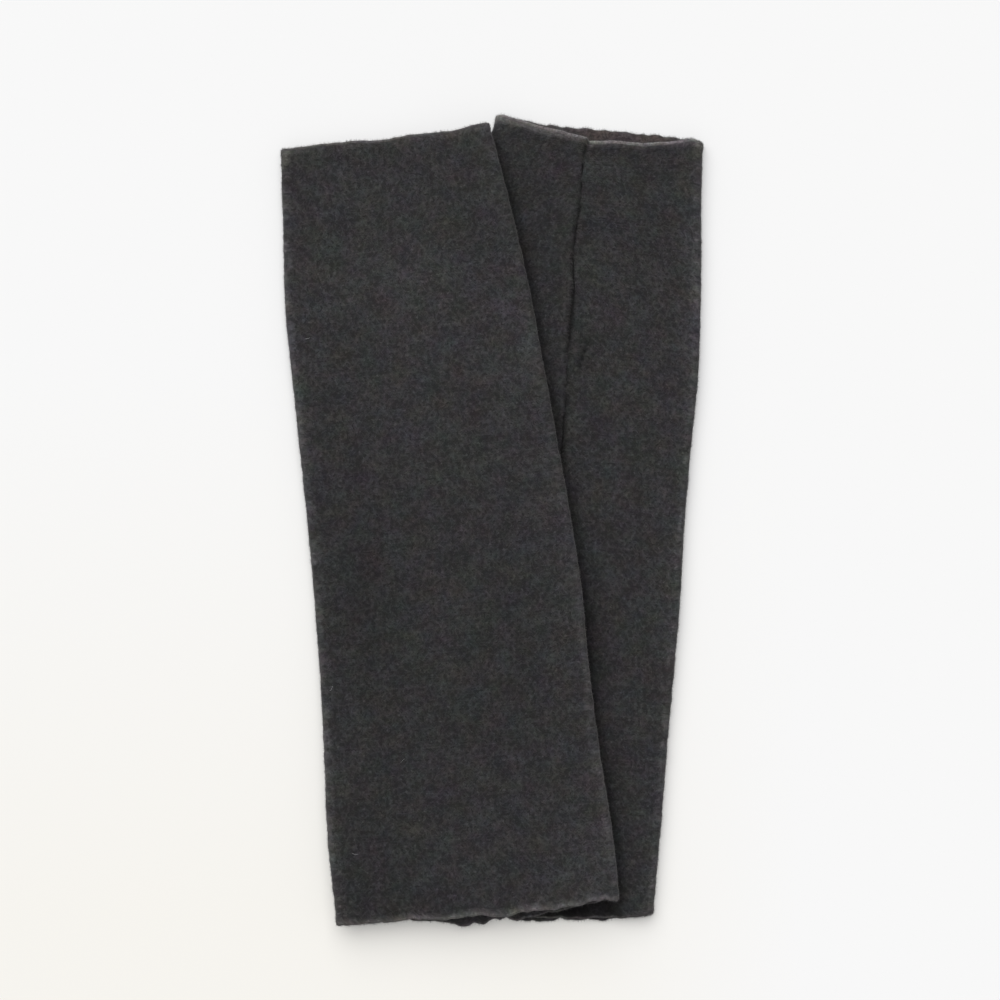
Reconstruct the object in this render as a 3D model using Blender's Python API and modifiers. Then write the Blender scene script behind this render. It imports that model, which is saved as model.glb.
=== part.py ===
"""A pair of fulled-knit arm warmers, laid flat on a table.

Each warmer is one tapered panel of thick felted knit, wrapped into a flat tube whose two long edges butt at
a single lengthwise seam. Both ends are open. The wrist ends point to +Y and the elbow ends to -Y. The lower
warmer lies on the table with its seam up. The upper one lies half over it with its seam down, so the two
make an upturned V. Lengths are in millimetres, and become metres when a mesh is made.
"""

import bpy
import numpy as np

# The cloth and the way its layers lie on each other
CLOTH = 2.0
HOLLOW = 0.5
SEAM_GAP = 0.3
LAYER_GAP = 0.3
TUBE_HEIGHT = 2 * CLOTH + HOLLOW

# How far from a hem its cut edge wanders, its mouth arches and its rim curls
WANDER_RUN = 45.0
ARCH_RUN = 30.0
CURL_RUN = 4.0

# The upper warmer steps down to the table beside the lower one's inner fold
DRAPE_START = 4.0
DRAPE_RUN = 36.0
FOLD_LEAN = np.radians(9.5)

# The seam drifts from its place at the wrist to its place at this share of the length, and stays there
SEAM_SETTLES = 0.4

# The grid of a panel: rows near a hem, rows between the hems, and points round the tube
HEM_ROWS = (0.0, 1.3, 2.6, 4.0, 8.0, 16.0, 30.0)
MIDDLE_ROWS = 12
WALL_SPANS = 12
FOLD_SPANS = 4

METRES = 0.001
KNIT_COLOUR = (0.032, 0.031, 0.033, 1.0)
KNIT_ROUGHNESS = 0.95


def table(names, *rows):
    """Return the rows as one array for each named column."""
    return dict(zip(names, np.array(rows, float).T))


FOLD_COLUMNS = ("share", "outer_x", "inner_x")
HEM_COLUMNS = ("across", "back_reach", "front_reach", "arch", "curl")

# A fold table gives, at a share of the way from wrist to elbow, where the two side folds lie. A hem table
# goes from the outer fold to the inner one. It says how far each layer's cut edge reaches past the straight
# line between the hem's corners, how far the front layer arches up, and how far its rim curls.
UPPER = {
    "wrist_y": 142.7,
    "rise": 9.7,
    "length": 297.6,
    "folds": table(
        FOLD_COLUMNS,
        (0.0, -80.8, -0.5),
        (0.1, -80.2, 6.8),
        (0.2, -79.4, 13.8),
        (0.3, -76.6, 19.4),
        (0.4, -73.4, 24.8),
        (0.5, -70.3, 30.1),
        (0.6, -67.7, 34.6),
        (0.7, -65.5, 37.4),
        (0.8, -64.0, 41.2),
        (0.9, -62.5, 45.8),
        (1.0, -59.2, 49.8),
    ),
    "wrist": table(
        HEM_COLUMNS,
        (0.0, 0.0, 0.0, 0.0, 0.0),
        (0.15, 0.4, 0.6, 0.3, 0.2),
        (0.33, -0.6, 0.2, 0.8, 0.4),
        (0.5, -1.6, -1.1, 1.2, 0.5),
        (0.7, -1.2, -0.7, 0.8, 0.4),
        (0.9, -0.4, 0.1, 0.3, 0.2),
        (1.0, 0.0, 0.0, 0.0, 0.0),
    ),
    "elbow": table(
        HEM_COLUMNS,
        (0.0, 0.0, 0.0, 0.0, 0.0),
        (0.22, 1.0, 1.3, 0.6, 0.5),
        (0.33, 2.2, 1.6, 1.2, 0.8),
        (0.48, 5.4, 1.1, 1.8, 1.2),
        (0.6, 4.6, 1.8, 1.8, 1.2),
        (0.79, 3.0, 1.8, 1.2, 1.0),
        (0.92, 0.8, -0.6, 0.4, 0.4),
        (1.0, 0.0, 0.0, 0.0, 0.0),
    ),
    "seam_in_front": False,
    "seam_across": (0.5, 0.5),
}
LOWER = {
    "wrist_y": 146.8,
    "rise": 9.2,
    "length": 299.5,
    "folds": table(
        FOLD_COLUMNS,
        (0.0, 81.4, 2.0),
        (0.1, 80.9, -6.3),
        (0.2, 80.8, -12.9),
        (0.3, 79.8, -17.4),
        (0.4, 76.9, -21.9),
        (0.5, 74.4, -26.5),
        (0.6, 72.6, -30.3),
        (0.7, 70.0, -33.8),
        (0.8, 67.4, -38.4),
        (0.9, 65.0, -43.2),
        (1.0, 62.2, -47.3),
    ),
    "wrist": table(
        HEM_COLUMNS,
        (0.0, 0.0, 0.0, 0.0, 0.0),
        (0.06, 0.2, -0.2, 0.3, 0.4),
        (0.25, 0.0, -3.5, 1.4, 1.0),
        (0.34, 0.0, -4.8, 1.8, 1.2),
        (0.45, -0.2, -3.9, 1.8, 1.1),
        (0.56, -0.3, -3.8, 1.6, 1.0),
        (0.78, -0.8, -2.1, 0.8, 0.6),
        (1.0, 0.0, 0.0, 0.0, 0.0),
    ),
    "elbow": table(
        HEM_COLUMNS,
        (0.0, 0.0, 0.0, 0.0, 0.0),
        (0.08, 1.5, 0.8, 0.2, 0.6),
        (0.18, 2.9, 2.1, 0.2, 0.8),
        (0.39, 5.5, 4.0, 0.0, 0.0),
        (0.5, 5.6, 4.2, 0.0, 0.0),
        (0.75, 3.2, 2.6, 0.0, 0.0),
        (1.0, 0.0, 0.0, 0.0, 0.0),
    ),
    "seam_in_front": True,
    "seam_across": (0.555, 0.5),
}


def smooth_step(value):
    """Return 0 below 0 and 1 above 1, with 3v^2 - 2v^3 between."""
    value = np.clip(value, 0.0, 1.0)
    return value * value * (3.0 - 2.0 * value)


def smooth_curve(knots, values, at):
    """Return a curve through the table's values: between two knots it is the cubic whose slope at each
    knot is that of the line between the knots on either side."""
    slopes = np.gradient(values, knots)
    at = np.clip(at, knots[0], knots[-1])
    left = np.clip(np.searchsorted(knots, at, side="right") - 1, 0, len(knots) - 2)
    span = knots[left + 1] - knots[left]
    t = (at - knots[left]) / span
    start = (1 + 2 * t) * (1 - t) ** 2 * values[left] + t * (1 - t) ** 2 * span * slopes[left]
    end = t * t * (3 - 2 * t) * values[left + 1] - t * t * (1 - t) * span * slopes[left + 1]
    return start + end


def fold_lines(warmer, share):
    """Return x and y of the outer fold, then of the inner fold, for the rows at these shares."""
    folds = warmer["folds"]
    outer_y = warmer["wrist_y"] - warmer["length"] * share
    outer_x = smooth_curve(folds["share"], folds["outer_x"], share)
    inner_x = smooth_curve(folds["share"], folds["inner_x"], share)
    return outer_x, outer_y, inner_x, outer_y + warmer["rise"]


def row_shares(length):
    """Return the rows' shares of the length: close together at the hems and evenly spread between."""
    hem = np.array(HEM_ROWS) / length
    middle = np.linspace(hem[-1], 1 - hem[-1], MIDDLE_ROWS + 1)[1:-1]
    return np.concatenate([hem, middle, 1 - hem[::-1]])


def ring_at_rest(width, seam_across, seam_in_front):
    """Return the flat tube's cross-section, halfway through the cloth: the distance from the outer fold,
    the height, and the share of front layer, 0 in the back layer and 1 in the front. Each fold is half a
    circle. The ring starts beside the seam and runs round to its other side."""
    radius = (CLOTH + HOLLOW) / 2
    inset = radius + CLOTH / 2
    seam = seam_across * width
    top = CLOTH / 2 + 2 * radius
    seam_wall, far_wall = (top, CLOTH / 2) if seam_in_front else (CLOTH / 2, top)
    turn = np.linspace(0.0, np.pi, FOLD_SPANS + 1)[1:-1]
    middle = (top + CLOTH / 2) / 2
    bulge = radius * np.sin(turn)
    swing = (seam_wall - middle) * np.cos(turn)
    steps = WALL_SPANS // 2 + 1
    to_inner = np.linspace(seam + SEAM_GAP / 2, width - inset, steps)
    along_far = np.linspace(width - inset, inset, WALL_SPANS + 1)
    to_seam = np.linspace(inset, seam - SEAM_GAP / 2, steps)
    distance = np.concatenate([to_inner, width - inset + bulge, along_far, inset - bulge, to_seam])
    height = np.concatenate([
        np.full(steps, seam_wall), middle + swing, np.full(WALL_SPANS + 1, far_wall),
        middle - swing, np.full(steps, seam_wall),
    ])
    return distance, height, (height - CLOTH / 2) / (2 * radius)


def hem_effect(hem, inwards, across, front):
    """Return how far a hem moves these points outwards along the warmer, and how far up. Its reach fades
    with the square of the distance from the hem, and its arch and its curl do so over shorter runs."""
    def value(column):
        return smooth_curve(hem["across"], hem[column], across)

    def fade(run):
        return np.clip(1.0 - inwards / run, 0.0, 1.0) ** 2

    reach = (1 - front) * value("back_reach") + front * value("front_reach")
    raised = value("arch") * fade(ARCH_RUN) + value("curl") * fade(CURL_RUN)
    return reach * fade(WANDER_RUN), front * raised


def lift_over_lower(x, y):
    """Return how high the upper warmer rides at a point: the lower one's height inside the lower one's
    inner fold, easing down to the table beside it."""
    share = (LOWER["wrist_y"] + LOWER["rise"] - y) / LOWER["length"]
    fold_x = fold_lines(LOWER, np.clip(share, 0.0, 1.0))[2]
    outside = (fold_x - x) * np.cos(FOLD_LEAN) - DRAPE_START
    return (TUBE_HEIGHT + LAYER_GAP) * (1.0 - smooth_step(outside / DRAPE_RUN))


def panel_points(warmer, on_lower):
    """Return the grid of points, halfway through the cloth, as an array of rows by ring points by xyz."""
    rows = []
    for share in row_shares(warmer["length"]):
        outer_x, outer_y, inner_x, inner_y = fold_lines(warmer, share)
        width = np.hypot(inner_x - outer_x, inner_y - outer_y)
        seam_across = np.interp(share, (0.0, SEAM_SETTLES), warmer["seam_across"])
        distance, height, front = ring_at_rest(width, seam_across, warmer["seam_in_front"])
        across = distance / width
        x = outer_x + across * (inner_x - outer_x)
        y = outer_y + across * (inner_y - outer_y)
        wrist_out, wrist_up = hem_effect(warmer["wrist"], share * warmer["length"], across, front)
        elbow_out, elbow_up = hem_effect(warmer["elbow"], (1 - share) * warmer["length"], across, front)
        y = y + wrist_out - elbow_out
        z = height + wrist_up + elbow_up
        if on_lower:
            z = z + lift_over_lower(x, y)
        rows.append(np.stack([x, y, z], axis=1))
    return np.array(rows)


def knit_material(name):
    """Return a plain matt charcoal material."""
    material = bpy.data.materials.new(name)
    material.use_nodes = True
    shader = material.node_tree.nodes["Principled BSDF"]
    shader.inputs["Base Color"].default_value = KNIT_COLOUR
    shader.inputs["Roughness"].default_value = KNIT_ROUGHNESS
    shader.inputs["Metallic"].default_value = 0.0
    return material


def add_warmer(name, warmer, on_lower, collection):
    """Loft the panel from its rows as an open sheet, and give it the cloth's thickness."""
    points = panel_points(warmer, on_lower)
    row_count, ring_count = points.shape[:2]
    number = np.arange(row_count * ring_count).reshape(row_count, ring_count)
    corners = (number[:-1, :-1], number[1:, :-1], number[1:, 1:], number[:-1, 1:])
    faces = np.stack(corners, axis=-1).reshape(-1, 4)
    mesh = bpy.data.meshes.new(name)
    mesh.from_pydata((points.reshape(-1, 3) * METRES).tolist(), [], faces.tolist())
    mesh.shade_smooth()
    mesh.materials.append(knit_material(name + "_knit"))
    panel = bpy.data.objects.new(name, mesh)
    collection.objects.link(panel)
    wall = panel.modifiers.new("cloth_thickness", "SOLIDIFY")
    wall.thickness = CLOTH * METRES
    wall.offset = 0.0
    wall.use_even_offset = True
    wall.use_rim = True
    return panel


def main():
    for old in list(bpy.data.objects):
        bpy.data.objects.remove(old, do_unlink=True)
    collection = bpy.data.collections.new("arm_warmers")
    bpy.context.scene.collection.children.link(collection)
    add_warmer("warmer_lower", LOWER, False, collection)
    add_warmer("warmer_upper", UPPER, True, collection)


main()
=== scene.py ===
# %% [markdown]
# # A pair of fulled-knit arm warmers, laid flat
#
# Each arm warmer is one tapered panel of thick felted wool, wrapped into a flat tube and closed by a single
# lengthwise seam. The pair lies on a pale table in an upturned V, the left one half over the right one.
#
# This lesson dresses the plain solids of the pair. It makes each wall again as a fine surface of about
# 185,000 triangles with rolled hems, a sewn seam and the lumps of felt. Then it adds the knit's V stitches
# as a bump, and a haze of loose wool fibres as real hairs. Lengths are in millimetres until a mesh is made.

import bpy
import numpy as np
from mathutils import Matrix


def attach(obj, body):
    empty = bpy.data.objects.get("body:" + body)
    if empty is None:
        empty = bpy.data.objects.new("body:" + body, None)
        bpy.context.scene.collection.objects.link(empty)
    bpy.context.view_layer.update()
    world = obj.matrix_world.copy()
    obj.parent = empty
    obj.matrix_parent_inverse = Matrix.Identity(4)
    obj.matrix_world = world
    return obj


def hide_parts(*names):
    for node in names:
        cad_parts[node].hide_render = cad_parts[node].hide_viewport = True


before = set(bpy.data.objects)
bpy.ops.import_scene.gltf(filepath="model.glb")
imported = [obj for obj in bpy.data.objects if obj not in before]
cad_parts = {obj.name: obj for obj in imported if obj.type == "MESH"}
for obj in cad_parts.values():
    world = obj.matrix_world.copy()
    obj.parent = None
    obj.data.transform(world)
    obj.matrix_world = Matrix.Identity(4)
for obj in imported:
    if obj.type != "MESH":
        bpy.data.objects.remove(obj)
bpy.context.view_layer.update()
METRES = 0.001

# %% [markdown]
# ## The camera, the table and the light
#
# The pair is looked at from straight above, as cloth is when it is laid out to be sold. A long lens from
# nearly a metre keeps the top of the pile and the table at almost the same scale. The camera could be
# aimed by a constraint, but an unturned camera already looks down -Z with +Y up, so its place is enough.
#
# The light is soft and comes mostly from the wrist end, a little from the left. A sun with a wide disc gives
# soft shadows with the same strength all over the table, which a lamp at a real distance would not. The
# table also has a painted glow: it emits a little light, which lifts its shadows, so no shadow is black. Its
# near left part is a little warmer, and the two ranges in metres say where that tone begins and is full.

# %% Camera straight above the pair
LENS = 85.0
SENSOR = 36.0
PICTURE_SIDE = 385.0
PILE_MIDDLE = 4.5
AIM = (3.4, 8.0)

camera_data = bpy.data.cameras.new("camera")
camera_data.lens = LENS
camera_data.sensor_width = SENSOR
camera = bpy.data.objects.new("camera", camera_data)
camera_height = PILE_MIDDLE + PICTURE_SIDE * LENS / SENSOR
camera.location = np.array([AIM[0], AIM[1], camera_height]) * METRES
bpy.context.scene.collection.objects.link(camera)
bpy.context.scene.camera = camera
print("camera height, in mm:", round(camera_height, 1))

# %% Table top
TABLE_SIDE = 20000.0
TABLE_DROP = 0.05
TABLE_COLOUR = (0.68, 0.68, 0.68, 1.0)
TABLE_WARM = (0.668, 0.652, 0.612, 1.0)
TABLE_ROUGHNESS = 0.8
# Painted glow: the table top emits a little light, which lifts the shadows on it.
TABLE_GLOW = 0.20
WARM_ALONG = (0.06, -0.15)
WARM_ACROSS = (0.12, 0.03)
WHITE = (1.0, 1.0, 1.0, 1.0)


def plain_material(name, colour, roughness):
    """Return a Principled material of one colour, and its shader node."""
    material = bpy.data.materials.new(name)
    material.use_nodes = True
    shader = material.node_tree.nodes["Principled BSDF"]
    shader.inputs["Base Color"].default_value = colour
    shader.inputs["Roughness"].default_value = roughness
    return material, shader


def link_mesh(name, points, faces, material):
    """Put points, in millimetres, and faces of any length into a new mesh object at the origin."""
    mesh = bpy.data.meshes.new(name)
    mesh.from_pydata((np.asarray(points) * METRES).tolist(), [], np.asarray(faces).tolist())
    mesh.materials.append(material)
    piece = bpy.data.objects.new(name, mesh)
    bpy.context.scene.collection.objects.link(piece)
    return piece


def connect(tree, socket, value):
    """Link the value if it is a socket, and otherwise set it."""
    if isinstance(value, bpy.types.NodeSocket):
        tree.links.new(value, socket)
    else:
        socket.default_value = value


def maths(tree, operation, *values):
    """Add a Math node and return its output."""
    node = tree.nodes.new("ShaderNodeMath")
    node.operation = operation
    for socket, value in zip(node.inputs, values):
        connect(tree, socket, value)
    return node.outputs[0]


def mapped(tree, value, from_low, from_high, to_low=0.0, to_high=1.0):
    """Add a Map Range node, clamped, and return its output."""
    node = tree.nodes.new("ShaderNodeMapRange")
    for socket, number in zip(node.inputs, (value, from_low, from_high, to_low, to_high)):
        connect(tree, socket, number)
    return node.outputs[0]


def split_xyz(tree, vector):
    """Add a Separate XYZ node and return its outputs."""
    node = tree.nodes.new("ShaderNodeSeparateXYZ")
    connect(tree, node.inputs[0], vector)
    return node.outputs


def blended(tree, factor, first, second, blend_type="MIX"):
    """Add a Mix node for colours and return its output."""
    node = tree.nodes.new("ShaderNodeMix")
    node.data_type = "RGBA"
    node.blend_type = blend_type
    connect(tree, node.inputs[0], factor)
    connect(tree, node.inputs[6], first)
    connect(tree, node.inputs[7], second)
    return node.outputs[2]


half = TABLE_SIDE / 2
table_corners = ((-half, -half), (half, -half), (half, half), (-half, half))
table_points = [(x, y, -TABLE_DROP) for x, y in table_corners]
table_paint, table_shader = plain_material("table_paint", TABLE_COLOUR, TABLE_ROUGHNESS)
table_shader.inputs["Specular IOR Level"].default_value = 0.0
table_shader.inputs["Emission Color"].default_value = WHITE
table_shader.inputs["Emission Strength"].default_value = TABLE_GLOW
paint_tree = table_paint.node_tree
table_place = split_xyz(paint_tree, paint_tree.nodes.new("ShaderNodeTexCoord").outputs["Object"])
near = mapped(paint_tree, table_place["Y"], *WARM_ALONG)
left = mapped(paint_tree, table_place["X"], *WARM_ACROSS)
warmed = blended(paint_tree, maths(paint_tree, "MULTIPLY", near, left), TABLE_COLOUR, TABLE_WARM)
connect(paint_tree, table_shader.inputs["Base Color"], warmed)
table_top = link_mesh("table_top", table_points, [(0, 1, 2, 3)], table_paint)

# %% Light
SUN_ELEVATION = 52.0
SUN_BEARING = 18.0
SUN_DISC = 70.0
SUN_STRENGTH = 2.86
SKY_STRENGTH = 0.37


def add_sun(name, bearing, elevation, disc, strength):
    """Add a sun. Its bearing is in degrees anticlockwise from +Y, its elevation in degrees above the table,
    and its disc is the angle that it spans, so a wide one gives soft shadows."""
    data = bpy.data.lights.new(name, "SUN")
    data.angle = np.radians(disc)
    data.energy = strength
    sun = bpy.data.objects.new(name, data)
    sun.rotation_euler = (np.radians(90.0 - elevation), 0.0, np.radians(180.0 + bearing))
    bpy.context.scene.collection.objects.link(sun)


add_sun("window_light", SUN_BEARING, SUN_ELEVATION, SUN_DISC, SUN_STRENGTH)
sky = bpy.data.worlds.new("soft_sky")
sky.use_nodes = True
background = sky.node_tree.nodes["Background"]
background.inputs["Color"].default_value = WHITE
background.inputs["Strength"].default_value = SKY_STRENGTH
bpy.context.scene.world = sky
bpy.context.scene.view_settings.view_transform = "Standard"

# %% [markdown]
# ## The measurements
#
# A garment maker measures a flat tube by where its two side folds lie, and its hems by how their edges
# wander. Both go into short tables, one row for each place measured. A fold table gives, at a share of the
# way from wrist to elbow, the x of the outer and of the inner fold. A hem table goes from the outer fold
# to the inner one. It says how far the cut edges of the back and front layer reach past the straight line
# between the hem's corners, how far the front layer arches up, and how far its rim rolls up.
#
# The tables could be long lists of points read along the edges. Short ones with a smooth curve through
# them keep the shape easy to read and to change.

# %% Cloth sizes and tables
CLOTH = 2.0
HOLLOW = 0.5
LAYER_GAP = 0.3
TUBE_HEIGHT = 2 * CLOTH + HOLLOW
WANDER_RUN = 45.0
ARCH_RUN = 30.0
ROLL_RUN = 4.5
DRAPE_START = 4.0
DRAPE_RUN = 36.0
FOLD_LEAN = np.radians(9.5)
SEAM_SETTLES = 0.4


def table(names, *rows):
    """Return the rows as one array for each named column."""
    return dict(zip(names, np.array(rows, float).T))


FOLD_COLUMNS = ("share", "outer_x", "inner_x")
HEM_COLUMNS = ("across", "back_reach", "front_reach", "arch", "roll")

# %% The upper warmer, which lies on the left with its seam underneath
UPPER = {
    "wrist_y": 142.7,
    "rise": 9.7,
    "length": 297.6,
    "folds": table(
        FOLD_COLUMNS,
        (0.0, -80.8, -1.2),
        (0.03, -80.7, 1.6),
        (0.1, -80.2, 6.8),
        (0.2, -79.4, 13.8),
        (0.3, -76.6, 19.4),
        (0.4, -73.4, 24.8),
        (0.5, -70.3, 30.1),
        (0.6, -67.7, 34.6),
        (0.7, -65.5, 37.4),
        (0.8, -64.0, 41.2),
        (0.9, -62.5, 45.8),
        (0.96, -60.5, 48.1),
        (1.0, -59.2, 48.8),
    ),
    "wrist": table(
        HEM_COLUMNS,
        (0.0, 0.3, 0.3, 0.0, 0.0),
        (0.15, 0.2, 0.4, 0.3, 0.2),
        (0.33, -0.6, 0.2, 0.8, 0.4),
        (0.5, -1.5, -0.9, 1.2, 0.5),
        (0.64, -1.0, -0.4, 1.0, 0.4),
        (0.71, -1.1, -0.5, 0.8, 0.4),
        (0.77, -1.5, -0.9, 0.6, 0.3),
        (0.825, -2.0, -1.5, 0.5, 0.3),
        (0.88, -1.4, -1.0, 0.3, 0.2),
        (0.94, -0.5, -0.2, 0.1, 0.1),
        (1.0, 0.0, 0.0, 0.0, 0.0),
    ),
    "elbow": table(
        HEM_COLUMNS,
        (0.0, 0.0, 0.0, 0.0, 0.0),
        (0.15, 0.7, 0.7, 0.3, 0.2),
        (0.21, 0.9, 0.9, 0.6, 0.4),
        (0.27, 0.3, 0.3, 0.9, 0.5),
        (0.3, 0.9, 0.7, 1.0, 0.6),
        (0.37, 3.0, 1.6, 1.4, 0.8),
        (0.41, 3.4, 1.7, 1.6, 0.9),
        (0.43, 5.5, 1.6, 1.6, 0.9),
        (0.468, 5.3, 1.2, 1.7, 1.0),
        (0.5, 3.8, 0.9, 1.8, 1.0),
        (0.525, 4.8, 1.2, 1.8, 1.1),
        (0.56, 4.8, 2.2, 1.8, 1.1),
        (0.6, 4.2, 2.0, 1.9, 1.1),
        (0.645, 4.8, 1.2, 2.0, 1.2),
        (0.716, 3.6, 0.8, 2.0, 1.2),
        (0.787, 3.1, 0.7, 1.9, 1.1),
        (0.858, 1.6, 0.0, 1.5, 1.0),
        (0.93, 0.2, -1.3, 0.8, 0.8),
        (1.0, 0.0, 0.0, 0.0, 0.0),
    ),
    "ragged": {"wrist": 0.7, "elbow": 1.6},
    # glow: each hem's pale cut edge with its painted highlight, as a run and a strength
    "glow": {"wrist": (2.2, 0.17), "elbow": (0.9, 0.24)},
    "glow_across": ((0.0, 1.0), (1.0, 1.0)),
    # painted sheen on the inner fold, as a share at the wrist and one at the elbow
    "inner_sheen": (0.1, 0.75),
    "seam_in_front": False,
    "seam_across": (0.5, 0.5),
}

# %% The lower warmer, which lies on the right with its seam on top
LOWER = {
    "wrist_y": 146.8,
    "rise": 9.2,
    "length": 299.5,
    "folds": table(
        FOLD_COLUMNS,
        (0.0, 81.4, 2.0),
        (0.1, 80.9, -6.3),
        (0.2, 80.8, -12.9),
        (0.3, 79.8, -17.4),
        (0.4, 76.9, -21.9),
        (0.5, 74.4, -26.5),
        (0.6, 72.6, -30.3),
        (0.7, 70.0, -33.8),
        (0.8, 67.4, -38.4),
        (0.9, 65.0, -43.2),
        (1.0, 62.2, -47.3),
    ),
    "wrist": table(
        HEM_COLUMNS,
        (0.0, -1.5, -1.5, 0.0, 0.0),
        (0.02, -0.8, -0.9, 0.1, 0.2),
        (0.05, 0.0, -0.3, 0.3, 0.5),
        (0.11, 0.0, -1.7, 0.6, 0.9),
        (0.21, 0.1, -3.2, 1.2, 1.1),
        (0.3, -0.2, -4.6, 1.7, 1.1),
        (0.36, 0.1, -4.8, 1.9, 1.1),
        (0.4, -0.2, -4.9, 2.0, 1.1),
        (0.5, -0.35, -5.7, 2.0, 1.0),
        (0.545, -0.5, -6.0, 1.9, 0.8),
        (0.553, -0.5, -6.0, 1.9, 0.7),
        (0.559, -0.6, -5.0, 1.8, 0.7),
        (0.57, -0.6, -4.7, 1.8, 0.8),
        (0.6, -0.8, -4.4, 1.6, 0.9),
        (0.69, -0.7, -3.1, 1.4, 0.9),
        (0.79, -0.7, -2.2, 1.2, 0.9),
        (0.885, -0.3, -0.5, 0.9, 0.9),
        (0.93, -0.4, -0.3, 0.7, 0.8),
        (0.96, 0.1, 0.4, 0.6, 0.6),
        (1.0, 0.0, 0.0, 0.0, 0.0),
    ),
    "elbow": table(
        HEM_COLUMNS,
        (0.0, -1.4, -1.4, 0.0, 0.0),
        (0.03, 0.0, -0.4, 0.1, 0.2),
        (0.08, 1.4, 0.8, 0.2, 0.4),
        (0.18, 2.9, 2.1, 0.2, 0.2),
        (0.27, 4.1, 3.0, 0.1, 0.0),
        (0.33, 4.6, 3.4, 0.0, 0.0),
        (0.39, 5.9, 4.0, 0.0, 0.0),
        (0.465, 6.4, 4.4, 0.0, 0.0),
        (0.54, 5.0, 4.1, 0.0, 0.0),
        (0.75, 3.2, 2.6, 0.0, 0.0),
        (1.0, 0.0, 0.0, 0.0, 0.0),
    ),
    "ragged": {"wrist": 0.7, "elbow": 1.4},
    # glow: pale cut edge with painted highlight, strong at the lit wrist and weak at the shaded elbow
    "glow": {"wrist": (1.6, 0.68), "elbow": (0.6, 0.1)},
    "glow_across": ((0.4, 0.8), (0.45, 1.0)),
    "inner_sheen": (0.5, 0.0),
    "seam_in_front": True,
    "seam_across": (0.555, 0.5),
}

# %% Curves through the tables


def smooth_step(value):
    """Return 0 below 0 and 1 above 1, with 3v^2 - 2v^3 between."""
    value = np.clip(value, 0.0, 1.0)
    return value * value * (3.0 - 2.0 * value)


def smooth_curve(knots, values, at):
    """Return a curve through the table's values: between two knots it is the cubic whose slope at each
    knot is that of the line between the knots on either side."""
    slopes = np.gradient(values, knots)
    at = np.clip(at, knots[0], knots[-1])
    left = np.clip(np.searchsorted(knots, at, side="right") - 1, 0, len(knots) - 2)
    span = knots[left + 1] - knots[left]
    t = (at - knots[left]) / span
    start = (1 + 2 * t) * (1 - t) ** 2 * values[left] + t * (1 - t) ** 2 * span * slopes[left]
    end = t * t * (3 - 2 * t) * values[left + 1] - t * t * (1 - t) * span * slopes[left + 1]
    return start + end


def fold_lines(warmer, share):
    """Return x and y of the outer fold, then of the inner fold, for the rows at these shares."""
    folds = warmer["folds"]
    outer_y = warmer["wrist_y"] - warmer["length"] * share
    outer_x = smooth_curve(folds["share"], folds["outer_x"], share)
    inner_x = smooth_curve(folds["share"], folds["inner_x"], share)
    return outer_x, outer_y, inner_x, outer_y + warmer["rise"]


wrist_folds = UPPER["folds"]["inner_x"][0], UPPER["folds"]["outer_x"][0]
print("upper wrist, flat, in mm:", round(float(wrist_folds[0] - wrist_folds[1]), 1))

# %% [markdown]
# ## Wool is never even
#
# Felted cloth swells and sinks by fractions of a millimetre, and its edges wander. A noise texture could
# displace the mesh with a modifier. Here the noise is worked out as an array, so one function serves the
# swells, the lumps of felt, the nicks along a cut edge and the places of hairs, and the result is the same
# each time.

# %% Value noise
LATTICE = 256


def soft_noise(x, y, seed):
    """Return smooth noise between -1 and 1: a grid of random numbers, one for each whole x and y, with the
    four round a point blended by a smooth step along each axis. It repeats after 256 units."""
    grid = np.random.default_rng(seed).uniform(-1.0, 1.0, (LATTICE, LATTICE))
    x, y = np.broadcast_arrays(np.asarray(x, float), np.asarray(y, float))
    column, row = np.floor(x).astype(int), np.floor(y).astype(int)
    across, along = smooth_step(x - column), smooth_step(y - row)
    column, row = column % LATTICE, row % LATTICE
    next_column, next_row = (column + 1) % LATTICE, (row + 1) % LATTICE
    near = grid[row, column] * (1 - across) + grid[row, next_column] * across
    far = grid[next_row, column] * (1 - across) + grid[next_row, next_column] * across
    return near * (1 - along) + far * along


# %% [markdown]
# ## The shape of a flat tube
#
# The wall is worked out halfway through the cloth as a grid: rows go from wrist to elbow, and each row runs
# once round the tube, starting at the seam. A fold is half a circle, so the tube's edge is round and the
# two layers lie almost on each other. The points are closest at the seam and in the folds, where the
# surface turns most.
#
# The cloth could be draped by simulation. But the pair lies still on a table, and where it lies is known
# from its outline, so placing it by formula is quicker and stays true to the outline.

# %% One row round the tube
SEAM_STEPS = np.array([0.12, 0.3, 0.5, 0.75, 1.05, 1.4, 1.9, 2.5, 3.3])
SEAM_REACH = SEAM_STEPS[-1] * 1.4
SEAM_CROWDING = 1.4
FOLD_STEPS = 12
RING_STEPS = {True: (50, 80), False: (30, 124)}


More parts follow.
